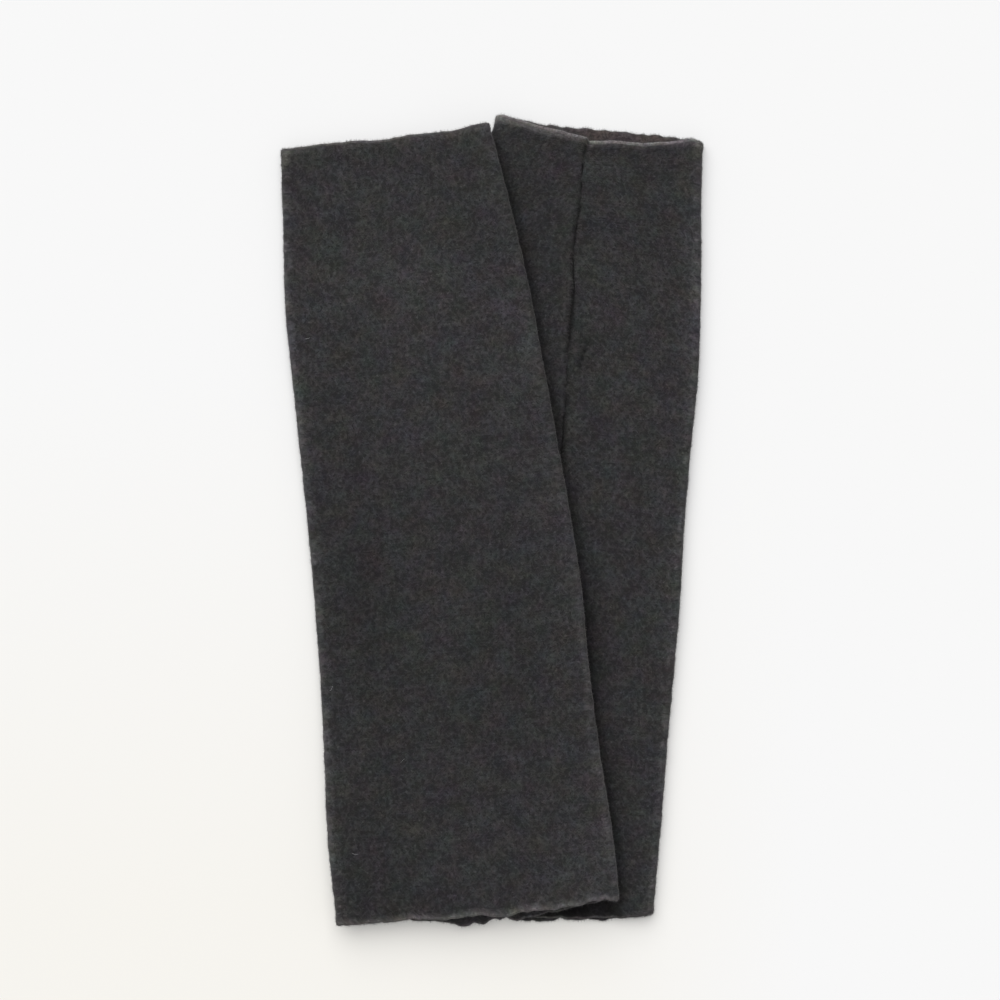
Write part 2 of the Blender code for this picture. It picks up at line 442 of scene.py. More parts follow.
def ring_at_rest(width, seam_across, seam_in_front):
    """Return the flat tube's cross-section halfway through the cloth: the distance from the outer fold, the
    height, and the share of front layer, 0 in the back layer and 1 in the front. Each fold is half a
    circle. The widths are a column, so the answers have one row for each. The layer that shows has more
    steps: with the seam in front that is the seam's two halves, and else it is the layer across."""
    seam_steps, far_steps = RING_STEPS[seam_in_front]
    radius = (CLOTH + HOLLOW) / 2
    inset = radius + CLOTH / 2
    seam = seam_across * width
    top = CLOTH / 2 + 2 * radius
    seam_wall, far_wall = (top, CLOTH / 2) if seam_in_front else (CLOTH / 2, top)
    swing = (seam_wall - far_wall) / 2
    turn = np.linspace(0.0, np.pi, FOLD_STEPS + 1)[1:-1]
    wall = np.linspace(0.0, 1.0, seam_steps) ** SEAM_CROWDING
    far = np.linspace(0.0, 1.0, far_steps)
    last, first = width - inset, np.full_like(width, inset)
    distance = np.concatenate([
        seam + np.zeros(1), seam + SEAM_STEPS, seam + SEAM_REACH + (last - seam - SEAM_REACH) * wall,
        last + radius * np.sin(turn), last + (first - last) * far, first - radius * np.sin(turn),
        first + (seam - SEAM_REACH - first) * (1.0 - wall[::-1]), seam - SEAM_STEPS[::-1],
    ], axis=1)
    sides = np.concatenate([
        np.ones(1 + len(SEAM_STEPS) + seam_steps), np.cos(turn), -np.ones(far_steps), -np.cos(turn),
        np.ones(seam_steps + len(SEAM_STEPS)),
    ])
    height = (seam_wall + far_wall) / 2 + swing * sides + 0 * distance
    return distance, height, (height - CLOTH / 2) / (2 * radius)


# %% [markdown]
# ## Hems, creases and the step down to the table
#
# Three things move the cloth away from flat. At a hem its cut edge wanders, the front layer arches up and
# its rim rolls. Across the front run a few soft creases, each placed one by one. And the upper warmer rides
# over the lower one, then eases down to the table beside it.

# %% What a hem does
NICK_SIZES = ((9.0, 0.30), (4.0, 0.55), (2.1, 0.75))
NICK_RUN = 4.0
FRONT_SHIFT = 7.0
FRONT_CALM = 0.45


def hem_effect(hem, ragged, inwards, across, width, front, seed):
    """Return how far a hem moves these points outwards along the warmer, and how far up. Its reach fades
    with the square of the distance from the hem, and its arch and its roll do so over shorter runs. The
    cut edge also has nicks: noise at a few sizes, each a length and a depth, by how ragged the hem is. The
    front layer takes its nicks from another place of the noise, and they are shallower."""
    def value(column):
        return smooth_curve(hem["across"], hem[column], across)

    def fade(run):
        return np.clip(1.0 - inwards / run, 0.0, 1.0) ** 2

    reach = (1 - front) * value("back_reach") + front * value("front_reach")
    nicks = sum(
        depth * soft_noise(across * width / size, front * FRONT_SHIFT, seed + number)
        for number, (size, depth) in enumerate(NICK_SIZES)
    )
    nicks = ragged * nicks * (1 - FRONT_CALM * front)
    raised = value("arch") * fade(ARCH_RUN) + value("roll") * fade(ROLL_RUN)
    return reach * fade(WANDER_RUN) + nicks * fade(NICK_RUN), front * raised


# %% Creases of the front layer
CREASE_COLUMNS = ("x", "y", "length", "width", "angle", "depth")
UPPER_CREASES = table(
    CREASE_COLUMNS,
    (-58.0, 71.0, 34.0, 6.0, -14.0, -0.45),
    (-70.0, 76.0, 14.0, 4.0, 24.0, 0.25),
    (-40.0, 112.0, 60.0, 12.0, 4.0, -0.35),
    (-20.0, 92.0, 50.0, 14.0, -8.0, 0.35),
    (-52.0, -30.0, 30.0, 12.0, 30.0, -0.35),
    (4.0, -6.0, 44.0, 12.0, -18.0, -0.3),
    (-12.0, -60.0, 60.0, 14.0, 8.0, -0.35),
    (24.0, -98.0, 36.0, 12.0, 20.0, 0.3),
    (-36.0, -112.0, 44.0, 12.0, -12.0, -0.3),
)
LOWER_CREASES = table(
    CREASE_COLUMNS,
    (55.0, 114.0, 38.0, 6.0, 4.0, -0.4),
    (46.0, 64.0, 26.0, 8.0, -6.0, -0.4),
    (33.0, 66.0, 24.0, 4.0, 84.0, -0.5),
    (34.4, 63.8, 15.0, 2.4, 59.0, -0.9),
    (36.9, 62.2, 15.0, 3.6, 59.0, 0.7),
    (28.0, 70.0, 20.0, 5.0, 100.0, -0.5),
    (64.0, 92.0, 26.0, 9.0, 30.0, 0.3),
    (66.0, 28.0, 26.0, 9.0, -20.0, -0.25),
    (58.0, -36.0, 26.0, 9.0, 12.0, -0.3),
    (56.0, -98.0, 24.0, 9.0, -8.0, -0.25),
)


def table_rows(columns):
    """Return a table's rows again, each as one number for each named column."""
    return [dict(zip(columns, row)) for row in zip(*columns.values())]


def crease_heights(creases, x, y):
    """Return the sum of the creases: each is a long bell across its width and along its length, turned by
    its angle, a trough where its depth is negative and a ridge where it is positive."""
    height = np.zeros_like(x)
    for row in table_rows(creases):
        turn = np.radians(row["angle"])
        right, up = x - row["x"], y - row["y"]
        along = (right * np.cos(turn) + up * np.sin(turn)) / (row["length"] / 2)
        across = (up * np.cos(turn) - right * np.sin(turn)) / (row["width"] / 2)
        height += row["depth"] * np.exp(-along ** 2 - across ** 2)
    return height


# %% Swells of a layer that lies loose
SWELL_SIZES = ((40.0, 0.28), (14.0, 0.10))


def swells(x, y, seed):
    """Return the broad unevenness of the front layer: noise at two sizes, never below zero."""
    total = sum(height for size, height in SWELL_SIZES)
    uneven = sum(height * soft_noise(x / size, y / size, seed) for size, height in SWELL_SIZES)
    return total + uneven


# %% The bulge of a fold
BULGE_SHARE = 0.5
BULGE_PLACE = 2.5
BULGE_RUN = 7.5


def bell(distance, width):
    """Return e to the minus square of the distance over the width: 1 at no distance, and soon nothing."""
    return np.exp(-(distance / width) ** 2)


def fold_bulge(height, distance, width):
    """Return the heights with the folds swollen: thick felt won't fold flat, so beside a fold the front
    layer stands higher above the back one by a share that is bell-shaped across."""
    from_fold = np.minimum(distance, width - distance)
    share = BULGE_SHARE * bell(np.maximum(from_fold - BULGE_PLACE, 0.0), BULGE_RUN)
    return CLOTH / 2 + (height - CLOTH / 2) * (1 + share)


# %% How high the upper warmer rides


def inner_fold_x(warmer, y):
    """Return the x of the inner fold at each y, and past its ends that of the end."""
    share = (warmer["wrist_y"] + warmer["rise"] - y) / warmer["length"]
    return fold_lines(warmer, np.clip(share, 0.0, 1.0))[2]


def lift_over_lower(x, y):
    """Return how high the upper warmer rides at a point: the lower one's height inside the lower one's
    inner fold, easing down to the table beside it."""
    outside = (inner_fold_x(LOWER, y) - x) * np.cos(FOLD_LEAN) - DRAPE_START
    return (TUBE_HEIGHT + LAYER_GAP) * (1.0 - smooth_step(outside / DRAPE_RUN))


# %% How its inner fold springs up
SPRING = table(
    ("share", "height"),
    (0.0, 1.0),
    (0.05, 2.8),
    (0.12, 4.2),
    (0.2, 2.6),
    (0.25, 2.8),
    (0.32, 4.4),
    (0.42, 3.4),
    (0.55, 4.0),
    (0.8, 4.2),
    (0.92, 3.2),
    (1.0, 2.4),
)
SPRING_START = 0.6
SPRING_FULL = 0.97


def fold_spring(share, across):
    """Return how far the upper warmer's inner fold springs up off the lower one: the table's height at the
    fold, easing to nothing at a share of the way across the front."""
    height = smooth_curve(SPRING["share"], SPRING["height"], share)
    return height * smooth_step((across - SPRING_START) / (SPRING_FULL - SPRING_START))


# %% Where the lower warmer lies free
FREE_START = 2.0
FREE_RUN = 14.0


def lies_free(x, y):
    """Return 1 where the lower warmer lies free, falling to 0 under the upper one's inner fold."""
    return smooth_step((x - inner_fold_x(UPPER, y) + FREE_START) / FREE_RUN)


# %% [markdown]
# ## From a middle surface to a wall
#
# The middle grid is pushed out by half the cloth's thickness for the outside and in by as much for the
# inside. Half an oval joins them at each hem, so a lengthwise strip is one closed loop, and the whole
# wall is a ring of such loops, as a torus is. It has no loose edge and needs no cap.
#
# A Solidify modifier could do this too, but it would give the hidden inside as many faces as the outside.
# Here the inside takes only about 40 of the outside's 356 rows, most of them near the hems, and the faces
# saved go into the felt that shows.

# %% Rows from wrist to elbow
RIM_REACH = 1.0
OUTER_ROWS = 356
RIM_STEPS = 9
RIM_TURN = np.linspace(0.0, np.pi, RIM_STEPS + 2)[1:-1]
HEM_STEPS = np.array([0.0, 0.45, 0.9, 1.4, 2.0, 2.7, 3.5, 4.5, 5.8, 7.4, 9.5, 12.0, 15.0, 19.0, 24.0])
INNER_MIDDLE_ROWS = 16


def row_lengths(length):
    """Return the outer rows' distances from the wrist, evenly spread, and the numbers of those that the
    inside keeps: the ones nearest to a list that is dense at the hems."""
    outer = np.linspace(RIM_REACH, length - RIM_REACH, OUTER_ROWS)
    middle = np.linspace(HEM_STEPS[-1], length - HEM_STEPS[-1], INNER_MIDDLE_ROWS + 2)[1:-1]
    wanted = np.concatenate([HEM_STEPS, middle, length - HEM_STEPS])
    kept = np.unique(np.abs(outer[None, :] - wanted[:, None]).argmin(axis=1))
    return outer, kept


# %% The middle surface
SEAM_WANDER = ((9.0, 0.25), (3.6, 0.25), (1.8, 0.25))
SEAM_PATH = table(
    ("from_wrist", "aside", "open"),
    (0.0, 0.0, 1.0),
    (14.0, 0.5, 1.0),
    (21.0, -0.2, 0.9),
    (40.0, 0.1, 1.0),
    (49.0, 0.4, 0.9),
    (56.0, -0.3, 1.0),
    (72.0, -0.2, 1.2),
    (84.0, 0.3, 0.8),
    (98.0, 0.1, 0.6),
    (109.0, 0.0, 0.8),
    (116.0, 0.0, 1.2),
    (130.0, 0.0, 1.0),
)


def middle_surface(warmer, creases, on_lower, seed):
    """Return the grid halfway through the cloth, rows by ring by xyz, and each point's share across, its
    share of front layer, its distance from the wrist and its distance from the seam."""
    from_wrist = row_lengths(warmer["length"])[0][:, None]
    share = from_wrist / warmer["length"]
    outer_x, outer_y, inner_x, inner_y = fold_lines(warmer, share)
    width = np.hypot(inner_x - outer_x, inner_y - outer_y)
    seam_across = np.interp(share, (0.0, SEAM_SETTLES), warmer["seam_across"])
    aside = smooth_curve(SEAM_PATH["from_wrist"], SEAM_PATH["aside"], from_wrist)
    wander = sum(reach * soft_noise(from_wrist / size, 0.5, seed + 70) for size, reach in SEAM_WANDER)
    seam_across = seam_across + (aside + wander) / width
    distance, height, front = ring_at_rest(width, seam_across, warmer["seam_in_front"])
    across = distance / width
    x = outer_x + across * (inner_x - outer_x)
    y = outer_y + across * (inner_y - outer_y)
    wrist, elbow = ((warmer[hem], warmer["ragged"][hem]) for hem in ("wrist", "elbow"))
    from_elbow = warmer["length"] - from_wrist
    wrist_out, wrist_up = hem_effect(*wrist, from_wrist, across, width, front, seed)
    elbow_out, elbow_up = hem_effect(*elbow, from_elbow, across, width, front, seed + 50)
    y = y + wrist_out - elbow_out
    free = front * np.sin(np.pi * np.clip(across, 0.0, 1.0)) ** 2
    free = free if on_lower else free * lies_free(x, y)
    loose = np.maximum(crease_heights(creases, x, y) + swells(x, y, seed), 0)
    z = fold_bulge(height, distance, width) + wrist_up + elbow_up + free * loose
    if on_lower:
        z = z + lift_over_lower(x, y) + fold_spring(share, across)
    side = np.where(np.arange(distance.shape[1]) < distance.shape[1] // 2, 1.0, -1.0)
    off_seam = np.abs(distance - seam_across * width) * side
    on_seam_wall = (front > 0.5) == warmer["seam_in_front"]
    off_seam = np.where(on_seam_wall, off_seam, np.inf)
    return np.stack([x, y, z], axis=-1), across, front, from_wrist + 0 * across, off_seam


# %% Which way the cloth faces


def unit(vectors):
    """Return each vector divided by its length."""
    return vectors / np.linalg.norm(vectors, axis=-1, keepdims=True)


def grid_normals(grid):
    """Return unit normals: the cross product of the step round the closed ring, from the neighbour before a
    point to the one after it, and the step down the rows."""
    round_ring = np.roll(grid, -1, axis=1) - np.roll(grid, 1, axis=1)
    return unit(np.cross(round_ring, np.gradient(grid, axis=0)))


def outward_normals(middle, front):
    """Return unit normals that point out of the tube, the unit steps down the rows, and 1 or -1. Normals
    that point inwards are turned round by the -1."""
    normals = grid_normals(middle)
    upright = np.sign(np.sum(normals[..., 2] * (front - 0.5)))
    return normals * upright, unit(np.gradient(middle, axis=0)), upright


# %% [markdown]
# ## The outside of the felt
#
# The outside gets lumps a few millimetres across, where the wool shrank unevenly. Along the seam the two
# cut edges sink into a groove, with a lip on each side that the sewing puckers. On the underside there are
# no lumps, because there the cloth is pressed flat by the table.

# %% Lumps and the seam groove
LUMP_SIZES = ((4.6, 0.05), (2.2, 0.06), (1.3, 0.05))
FOLD_LUMPS = 1.2
SLIT_WIDTH = 0.6
SLIT_DEPTH = 1.5
VALLEY_WIDTH = 1.5
VALLEY_DEPTH = 0.30
PINCH = {"from_wrist": 76.0, "half_length": 9.0, "extra_width": 0.8}
LIP = {"height": 0.32, "place": 1.8, "width": 0.9}
BEAD = {"height": 0.25, "place": 1.2, "width": 1.6}
PUCKERS = {"mean": 0.6, "swing": 0.4, "length": 3.4}
SLIT_OPENS = {"mean": 0.9, "swing": 0.7, "length": 2.6}
SLIT_OPEN_RANGE = (0.3, 1.2)
SLIT_WIDENS = {"mean": 0.0, "swing": 0.5, "length": 3.1}
LUMPS_RISE = 6.0


def ridge(form, distance):
    """Return the height of a ridge at this distance from its line: a bell round the form's own place."""
    return form["height"] * bell(distance - form["place"], form["width"])


def comes_and_goes(form, along, lane, seed):
    """Return a number that varies along a line: the form's mean, and its swing times noise of its length.
    Lines on different lanes vary differently."""
    return form["mean"] + form["swing"] * soft_noise(along / form["length"], lane, seed)


def felt_relief(around, from_wrist, from_fold, off_seam, front, seed):
    """Return how far the outside stands out, and how deep in the seam's slit it is. It has lumps of noise at
    three sizes, larger on a fold, a bead along each cut edge, and at the seam a bell-shaped slit in a
    shallow valley. Both are wider where the sewing pinches, and the slit almost closes in places. The lip
    on each side rises and falls with its puckers."""
    lumps = sum(
        height * soft_noise(around / size, from_wrist / size, seed + 9 * number)
        for number, (size, height) in enumerate(LUMP_SIZES)
    )
    lumps = lumps * smooth_step(front * LUMPS_RISE) * (1 + FOLD_LUMPS * bell(from_fold, CLOTH))
    pucker = comes_and_goes(PUCKERS, from_wrist, 0.5 + np.sign(off_seam) * 0.4, seed + 80)
    opened = np.clip(comes_and_goes(SLIT_OPENS, from_wrist, 0.5, seed + 81), *SLIT_OPEN_RANGE)
    opened = opened * smooth_curve(SEAM_PATH["from_wrist"], SEAM_PATH["open"], from_wrist)
    pinched = bell(from_wrist - PINCH["from_wrist"], PINCH["half_length"])
    wider = 1 + PINCH["extra_width"] * pinched + comes_and_goes(SLIT_WIDENS, from_wrist, 0.5, seed + 82)
    slit = np.minimum(opened, 1.0) * bell(off_seam, SLIT_WIDTH * wider)
    valley = VALLEY_DEPTH * bell(off_seam, VALLEY_WIDTH * wider)
    lip = pucker * ridge(LIP, np.abs(off_seam))
    bead = ridge(BEAD, np.minimum(from_wrist, from_wrist.max() - from_wrist))
    return lumps - SLIT_DEPTH * slit - valley + lip + bead, slit


# %% A short tuck beside the lower warmer's seam
TUCK = {"top": (38.6, 71.5), "foot": (31.6, 52.0), "width": 0.9, "depth": 1.1}
TUCK_STITCH = {"length": 3.0, "mean": 0.65, "swing": 0.35}


def tuck_depth(x, y):
    """Return how deep in the tuck a point is. Across its line the tuck is bell-shaped, along it the depth is
    full halfway and nothing at the ends, and it comes and goes with the stitches."""
    top, foot = np.array(TUCK["top"]), np.array(TUCK["foot"])
    length = np.hypot(*(foot - top))
    step = (foot - top) / length
    along = ((x - top[0]) * step[0] + (y - top[1]) * step[1]) / length
    aside = (x - top[0]) * step[1] - (y - top[1]) * step[0]
    shown = np.sin(np.pi * np.clip(along, 0.0, 1.0)) ** 0.5
    wave = np.sin(2 * np.pi * along * length / TUCK_STITCH["length"])
    return shown * (TUCK_STITCH["mean"] + TUCK_STITCH["swing"] * wave) * bell(aside, TUCK["width"])


# %% A closed wall from the middle surface


def closed_loops(middle, normals, along, relief, kept):
    """Return the wall as loops by ring by xyz. Going down a loop: the outside from wrist to elbow, half an
    oval round the elbow's cut edge, the inside back to the wrist, and half an oval round the wrist's."""
    half = CLOTH / 2
    outside = middle + normals * (half + relief)[..., None]
    inside = middle[kept] - normals[kept] * half
    turn = RIM_TURN[:, None, None]

    def rim(row, outwards, start_relief):
        thick = half + start_relief[None, :, None] * (1 + np.cos(turn)) / 2
        return middle[row] + normals[row] * np.cos(turn) * thick + outwards * np.sin(turn) * RIM_REACH

    elbow = rim(-1, along[-1], relief[-1])
    wrist = rim(0, -along[0], relief[0])[::-1]
    return np.concatenate([outside, elbow, inside[::-1], wrist])


# %% [markdown]
# ## Where the cloth is pale, brown or dark
#
# The pair is not one even grey. Its inside is a little brown, and lighter with painted light at the lit wrist
# end. Its cut edges are pale, with a painted highlight that is strongest where a hem is lit. The sides of the
# folds get a painted sheen, ovals of tone and a strip beside the upper warmer's inner fold hold painted shade
# and painted highlight, and the seam's slit gets painted shade. Each of these becomes a number at every point
# of the wall, and the material turns the numbers into colour. They could be painted by hand on a picture,
# but a formula follows every fold and hem exactly and needs no file.

# %% How brown the inside is, with painted light at the wrist
ELBOW_INSIDE = 0.05
INSIDE_START = 0.4


def inside_brown_and_light_mark(rows, kept, ring):
    """Return for the whole wall how much each point has of the inside's light brown: partly the lining's own
    brown and partly painted light. The outside has none. On the inside it is full at the wrist, where the
    light falls in, and nearly nothing at the shaded elbow, and on a rim it comes in past a share of the turn."""
    lit_inside = np.linspace(ELBOW_INSIDE, 1.0, len(kept))
    to_inside = smooth_step(RIM_TURN / np.pi * (1 + INSIDE_START) - INSIDE_START)
    one_loop = np.concatenate([np.zeros(rows), to_inside * ELBOW_INSIDE, lit_inside, to_inside[::-1]])
    return one_loop[:, None] * np.ones(ring)


# %% How pale the cut edges are, with their painted highlight
CORNER_RUN = 5.0
CORNER_GAIN = 0.6
GLOW_SWING = 0.3
INNER_GLOW = 0.5
RIM_GAIN = 2.5
RIM_POWER = 0.35
LEAST_RIM = 0.6
BACK_RIM = {"wrist": 0.2, "elbow": 0.5}


def pale_edge_and_highlight_mark(glow, strength, from_wrist, kept, from_fold, front, grain):
    """Return for the whole wall how much each point has of a cut edge's paleness and its painted highlight.
    Each hem's glow is a run and a strength. Besides the edge's own paleness it holds painted highlight: the
    lower warmer's lit wrist has much, its shaded elbow little. It spreads that far onto both faces, unevenly,
    by each point's strength across, and more at the corners. The rim has the glow times a gain, up to 1, and
    the back layer's is duller."""
    down = from_wrist[:, 0]
    wrist_run, wrist_glow = glow["wrist"]
    elbow_run, elbow_glow = glow["elbow"]
    bleed = wrist_glow * bell(down - down[0], wrist_run) + elbow_glow * bell(down[-1] - down, elbow_run)
    corner = 1 + CORNER_GAIN * bell(from_fold, CORNER_RUN)
    outside = np.minimum(bleed[:, None] * strength * corner * (1 + GLOW_SWING * grain), 1.0)
    rim = np.maximum(np.sin(RIM_TURN) ** RIM_POWER, LEAST_RIM)
    wrist_rim, elbow_rim = (rim * min(1.0, RIM_GAIN * hem_glow) for hem_glow in (wrist_glow, elbow_glow))
    at_wrist, at_elbow = (BACK_RIM[hem] + (1 - BACK_RIM[hem]) * front[0] for hem in ("wrist", "elbow"))
    inner_and_wrist = np.append(INNER_GLOW * bleed[kept][::-1], wrist_rim)
    return np.concatenate([outside, elbow_rim[:, None] * at_elbow, inner_and_wrist[:, None] * at_wrist])


# %% Lighter and darker patches: tone, painted shade and painted highlight
PATCH_COLUMNS = ("x", "y", "wide", "tall", "paler")
# Ovals of tone: some are the wool's own, and some are painted highlight beside the inner fold.
UPPER_PATCHES = table(
    PATCH_COLUMNS,
    (-52.0, 130.0, 46.0, 26.0, 0.17),
    (-36.0, 92.0, 84.0, 36.0, 0.18),
    (-49.0, -28.0, 22.0, 96.0, -0.17),
    (-44.0, -125.0, 28.0, 70.0, -0.13),
    (-16.0, -78.0, 44.0, 24.0, -0.10),
    (32.0, -130.0, 14.0, 50.0, 0.12),
    (-70.0, 78.0, 14.0, 120.0, 0.12),
    (-22.0, 58.0, 60.0, 80.0, 0.1),
    (11.0, 62.0, 20.0, 90.0, 0.16),
    (8.0, -44.0, 26.0, 100.0, -0.1),
    (-46.0, -42.0, 26.0, 60.0, -0.08),
    (-30.0, -147.0, 76.0, 20.0, -0.13),
    (41.0, -126.0, 14.0, 60.0, 0.18),
    (25.0, 8.0, 16.0, 50.0, 0.12),
)
# Ovals of tone: some are the wool's own; others are painted shade beside the upper warmer's inner fold, by
# the tuck and under its elbow hem, and painted highlight along the outer fold.
LOWER_PATCHES = table(
    PATCH_COLUMNS,
    (15.0, 108.0, 14.0, 48.0, -0.1),
    (38.0, -46.0, 12.0, 64.0, -0.2),
    (46.0, -128.0, 12.0, 70.0, -0.16),
    (45.0, 113.0, 20.0, 14.0, -0.08),
    (77.0, 85.0, 9.0, 120.0, 0.28),
    (69.0, -25.0, 9.0, 100.0, 0.16),
    (38.0, 134.0, 24.0, 14.0, 0.14),
    (33.5, 64.5, 9.0, 15.0, -0.24),
    (54.0, 76.0, 50.0, 120.0, 0.06),
    (25.0, -151.0, 34.0, 9.0, -0.45),
)


def tone_shade_and_highlight_patches(patches, x, y):
    """Return how much lighter the cloth is at each point: a sum of ovals, each bell-shaped both ways. Some
    are the wool's own uneven tone, and others are painted highlight or, below zero, painted shade beside the
    folds and in the strip under the upper warmer's elbow hem."""
    paler = np.zeros_like(x)
    for row in table_rows(patches):
        across, along = 2 * (x - row["x"]) / row["wide"], 2 * (y - row["y"]) / row["tall"]
        paler += row["paler"] * np.exp(-across ** 2 - along ** 2)
    return paler


# %% Painted sheen on the folds, and painted highlight and shade beside the upper warmer's inner fold
FOLD_SHEEN_RUN = 1.8
FOLD_SHEEN_MEAN = 0.7
FOLD_SHEEN_SWING = 0.7
MOST_FOLD_SHEEN = 1.3
INNER_SHEEN_START = 0.3
INNER_SHEEN_RUN = 0.4
# Painted highlight beside the upper warmer's inner fold, and painted shade on the lower one up to that fold:
FOLD_HIGHLIGHT = 0.13
FOLD_HIGHLIGHT_RUN = 5.0
FOLD_SHADE = 0.37
FOLD_SHADE_RUN = 4.5


def painted_fold_sheen(warmer, across, from_fold, share, grain):
    """Return how much painted sheen each point of the outside has: most on the side of a fold, bell-shaped
    across, and uneven along it. It lightens the fold sides as sheen on their fuzz would. An inner fold gets
    less, by one share at the wrist and another at the elbow."""
    beside = bell(np.maximum(from_fold - CLOTH / 2, 0.0), FOLD_SHEEN_RUN)
    at_wrist, at_elbow = warmer["inner_sheen"]
    inner = at_wrist + (at_elbow - at_wrist) * smooth_step((share - INNER_SHEEN_START) / INNER_SHEEN_RUN)
    uneven = np.clip(FOLD_SHEEN_MEAN + FOLD_SHEEN_SWING * grain, 0.0, MOST_FOLD_SHEEN)
    return beside * np.where(across > 0.5, inner, 1.0) * uneven


def painted_fold_highlight_and_shade(on_lower, x, y, across, from_fold):
    """Return how much lighter painted light makes the outside. The upper warmer has a painted highlight in a
    band beside its inner fold. The lower one gets painted shade up to that fold, easing off beside it."""
    if on_lower:
        return FOLD_HIGHLIGHT * bell(from_fold, FOLD_HIGHLIGHT_RUN) * (across > 0.5)
    return FOLD_SHADE * (smooth_step((x - inner_fold_x(UPPER, y)) / FOLD_SHADE_RUN) - 1.0)


# %% [markdown]
# ## Putting a wall into a mesh
#
# The wall's faces are the squares of a grid that closes on itself both ways. Each corner also needs a place
# on the flat knitted panel, because the stitches run along the cloth and not along the world's axes. So the
# mesh gets a UV map in tenths of a metre: across from the panel's middle line, and along from the wrist.

# %% Faces and knit coordinates
UV_UNIT = 100.0


def torus_faces(loop_count, ring_count):
    """Return four corner numbers for each square of a grid that closes both ways."""
    number = np.arange(loop_count * ring_count).reshape(loop_count, ring_count)
    down, right = np.roll(number, -1, axis=0), np.roll(number, -1, axis=1)
    return np.stack([number, right, np.roll(down, -1, axis=1), down], axis=-1).reshape(-1, 4)


def corner_uvs(around, down_loop, round_length, loop_length):
    """Return each face corner's place on the panel, in UV units. The grid gets one more column and one
    more row for the corners where it closes, so no place jumps there."""
    loops, ring = around.shape
    wide = np.concatenate([around, around[:, :1] + round_length[:, None]], axis=1)
    wide = np.concatenate([wide, wide[:1]], axis=0)
    down = np.append(down_loop, loop_length)[:, None] + 0 * wide
    uv = np.stack([wide, down], axis=-1) / UV_UNIT
    corners = [uv[:loops, :ring], uv[:loops, 1:], uv[1:, 1:], uv[1:, :ring]]
    return np.stack(corners, axis=2).reshape(-1, 4, 2)


def add_point_mark(mesh, name, values):
    """Add a number for each vertex, which a material can read by this name."""
    mark = mesh.attributes.new(name, "FLOAT", "POINT")
    mark.data.foreach_set("value", np.ascontiguousarray(values, dtype=np.float32).ravel())


def add_panel_uvs(mesh, uvs):
    """Add the UV map that says where on the panel each face corner is."""
    layer = mesh.uv_layers.new(name="panel")
    layer.data.foreach_set("uv", np.ascontiguousarray(uvs, dtype=np.float32).ravel())


# %% [markdown]
# ## The fulled knit as a material
#
# Fulled jersey still shows its V stitches, but the felting has half drowned them. The pattern is made with
# shader nodes, so it holds at any size and needs no picture. One node group works out three things from the
# place on the panel: the height of stitches and fibres, how light a fleck of wool is, and its tint. The
# cloth and its loose hairs are of the same wool, so both materials use the group.

# %% A helper for noise textures


def noise(tree, place, scale, detail, roughness=0.5):
    """Add a Noise Texture and return its node."""
    node = tree.nodes.new("ShaderNodeTexNoise")
    connect(tree, node.inputs["Vector"], place)
    for name, value in (("Scale", scale), ("Detail", detail), ("Roughness", roughness)):
        connect(tree, node.inputs[name], value)
    return node


def vector_maths(tree, operation, *values):
    """Add a Vector Math node for up to three vectors and return its output."""
    node = tree.nodes.new("ShaderNodeVectorMath")
    node.operation = operation
    for socket, value in zip(node.inputs, values):
        connect(tree, socket, value)
    return node.outputs[0]


def placed(tree, place, turn, scale):
    """Turn a place about Z with a Mapping node, stretch it, and return that output."""
    turned = tree.nodes.new("ShaderNodeMapping")
    connect(tree, turned.inputs["Vector"], place)
    turned.inputs["Rotation"].default_value = (0.0, 0.0, turn)
    return vector_maths(tree, "MULTIPLY", turned.outputs[0], scale)


# %% An empty node group


def new_group(name, inputs, outputs):
    """Return an empty shader group with these sockets, and its input and output nodes."""
    group = bpy.data.node_groups.new(name, "ShaderNodeTree")
    for direction, sockets in (("INPUT", inputs), ("OUTPUT", outputs)):
        for socket_name, kind, default in sockets:
            socket = group.interface.new_socket(name=socket_name, in_out=direction, socket_type=kind)
            if default is not None:
                socket.default_value = default
    return group, group.nodes.new("NodeGroupInput"), group.nodes.new("NodeGroupOutput")


# %% The V stitches
STITCH_WIDTH = 1.25
STITCH_LENGTH = 1.05
LEG_SLANT = 1.5


def v_stitches(tree, place, stitch_width, stitch_length):
    """Return the height of V stitches at a place in millimetres. Each column holds two slanted legs that
    meet at its middle. A leg is plump across, and along its slant it repeats once a stitch."""
    split = split_xyz(tree, place)
    column = maths(tree, "DIVIDE", split["X"], stitch_width)
    from_middle = maths(tree, "ABSOLUTE", maths(tree, "SUBTRACT", maths(tree, "FRACT", column), 0.5))
    slant = maths(tree, "MULTIPLY", from_middle, LEG_SLANT)
    row = maths(tree, "ADD", maths(tree, "DIVIDE", split["Y"], stitch_length), slant)
    off_leg = maths(tree, "MULTIPLY", maths(tree, "SUBTRACT", from_middle, 0.25), 4.0)
    across = maths(tree, "SUBTRACT", 1.0, maths(tree, "MULTIPLY", off_leg, off_leg))
    along = maths(tree, "ABSOLUTE", maths(tree, "SINE", maths(tree, "MULTIPLY", row, np.pi)))
    return maths(tree, "MULTIPLY", across, along)


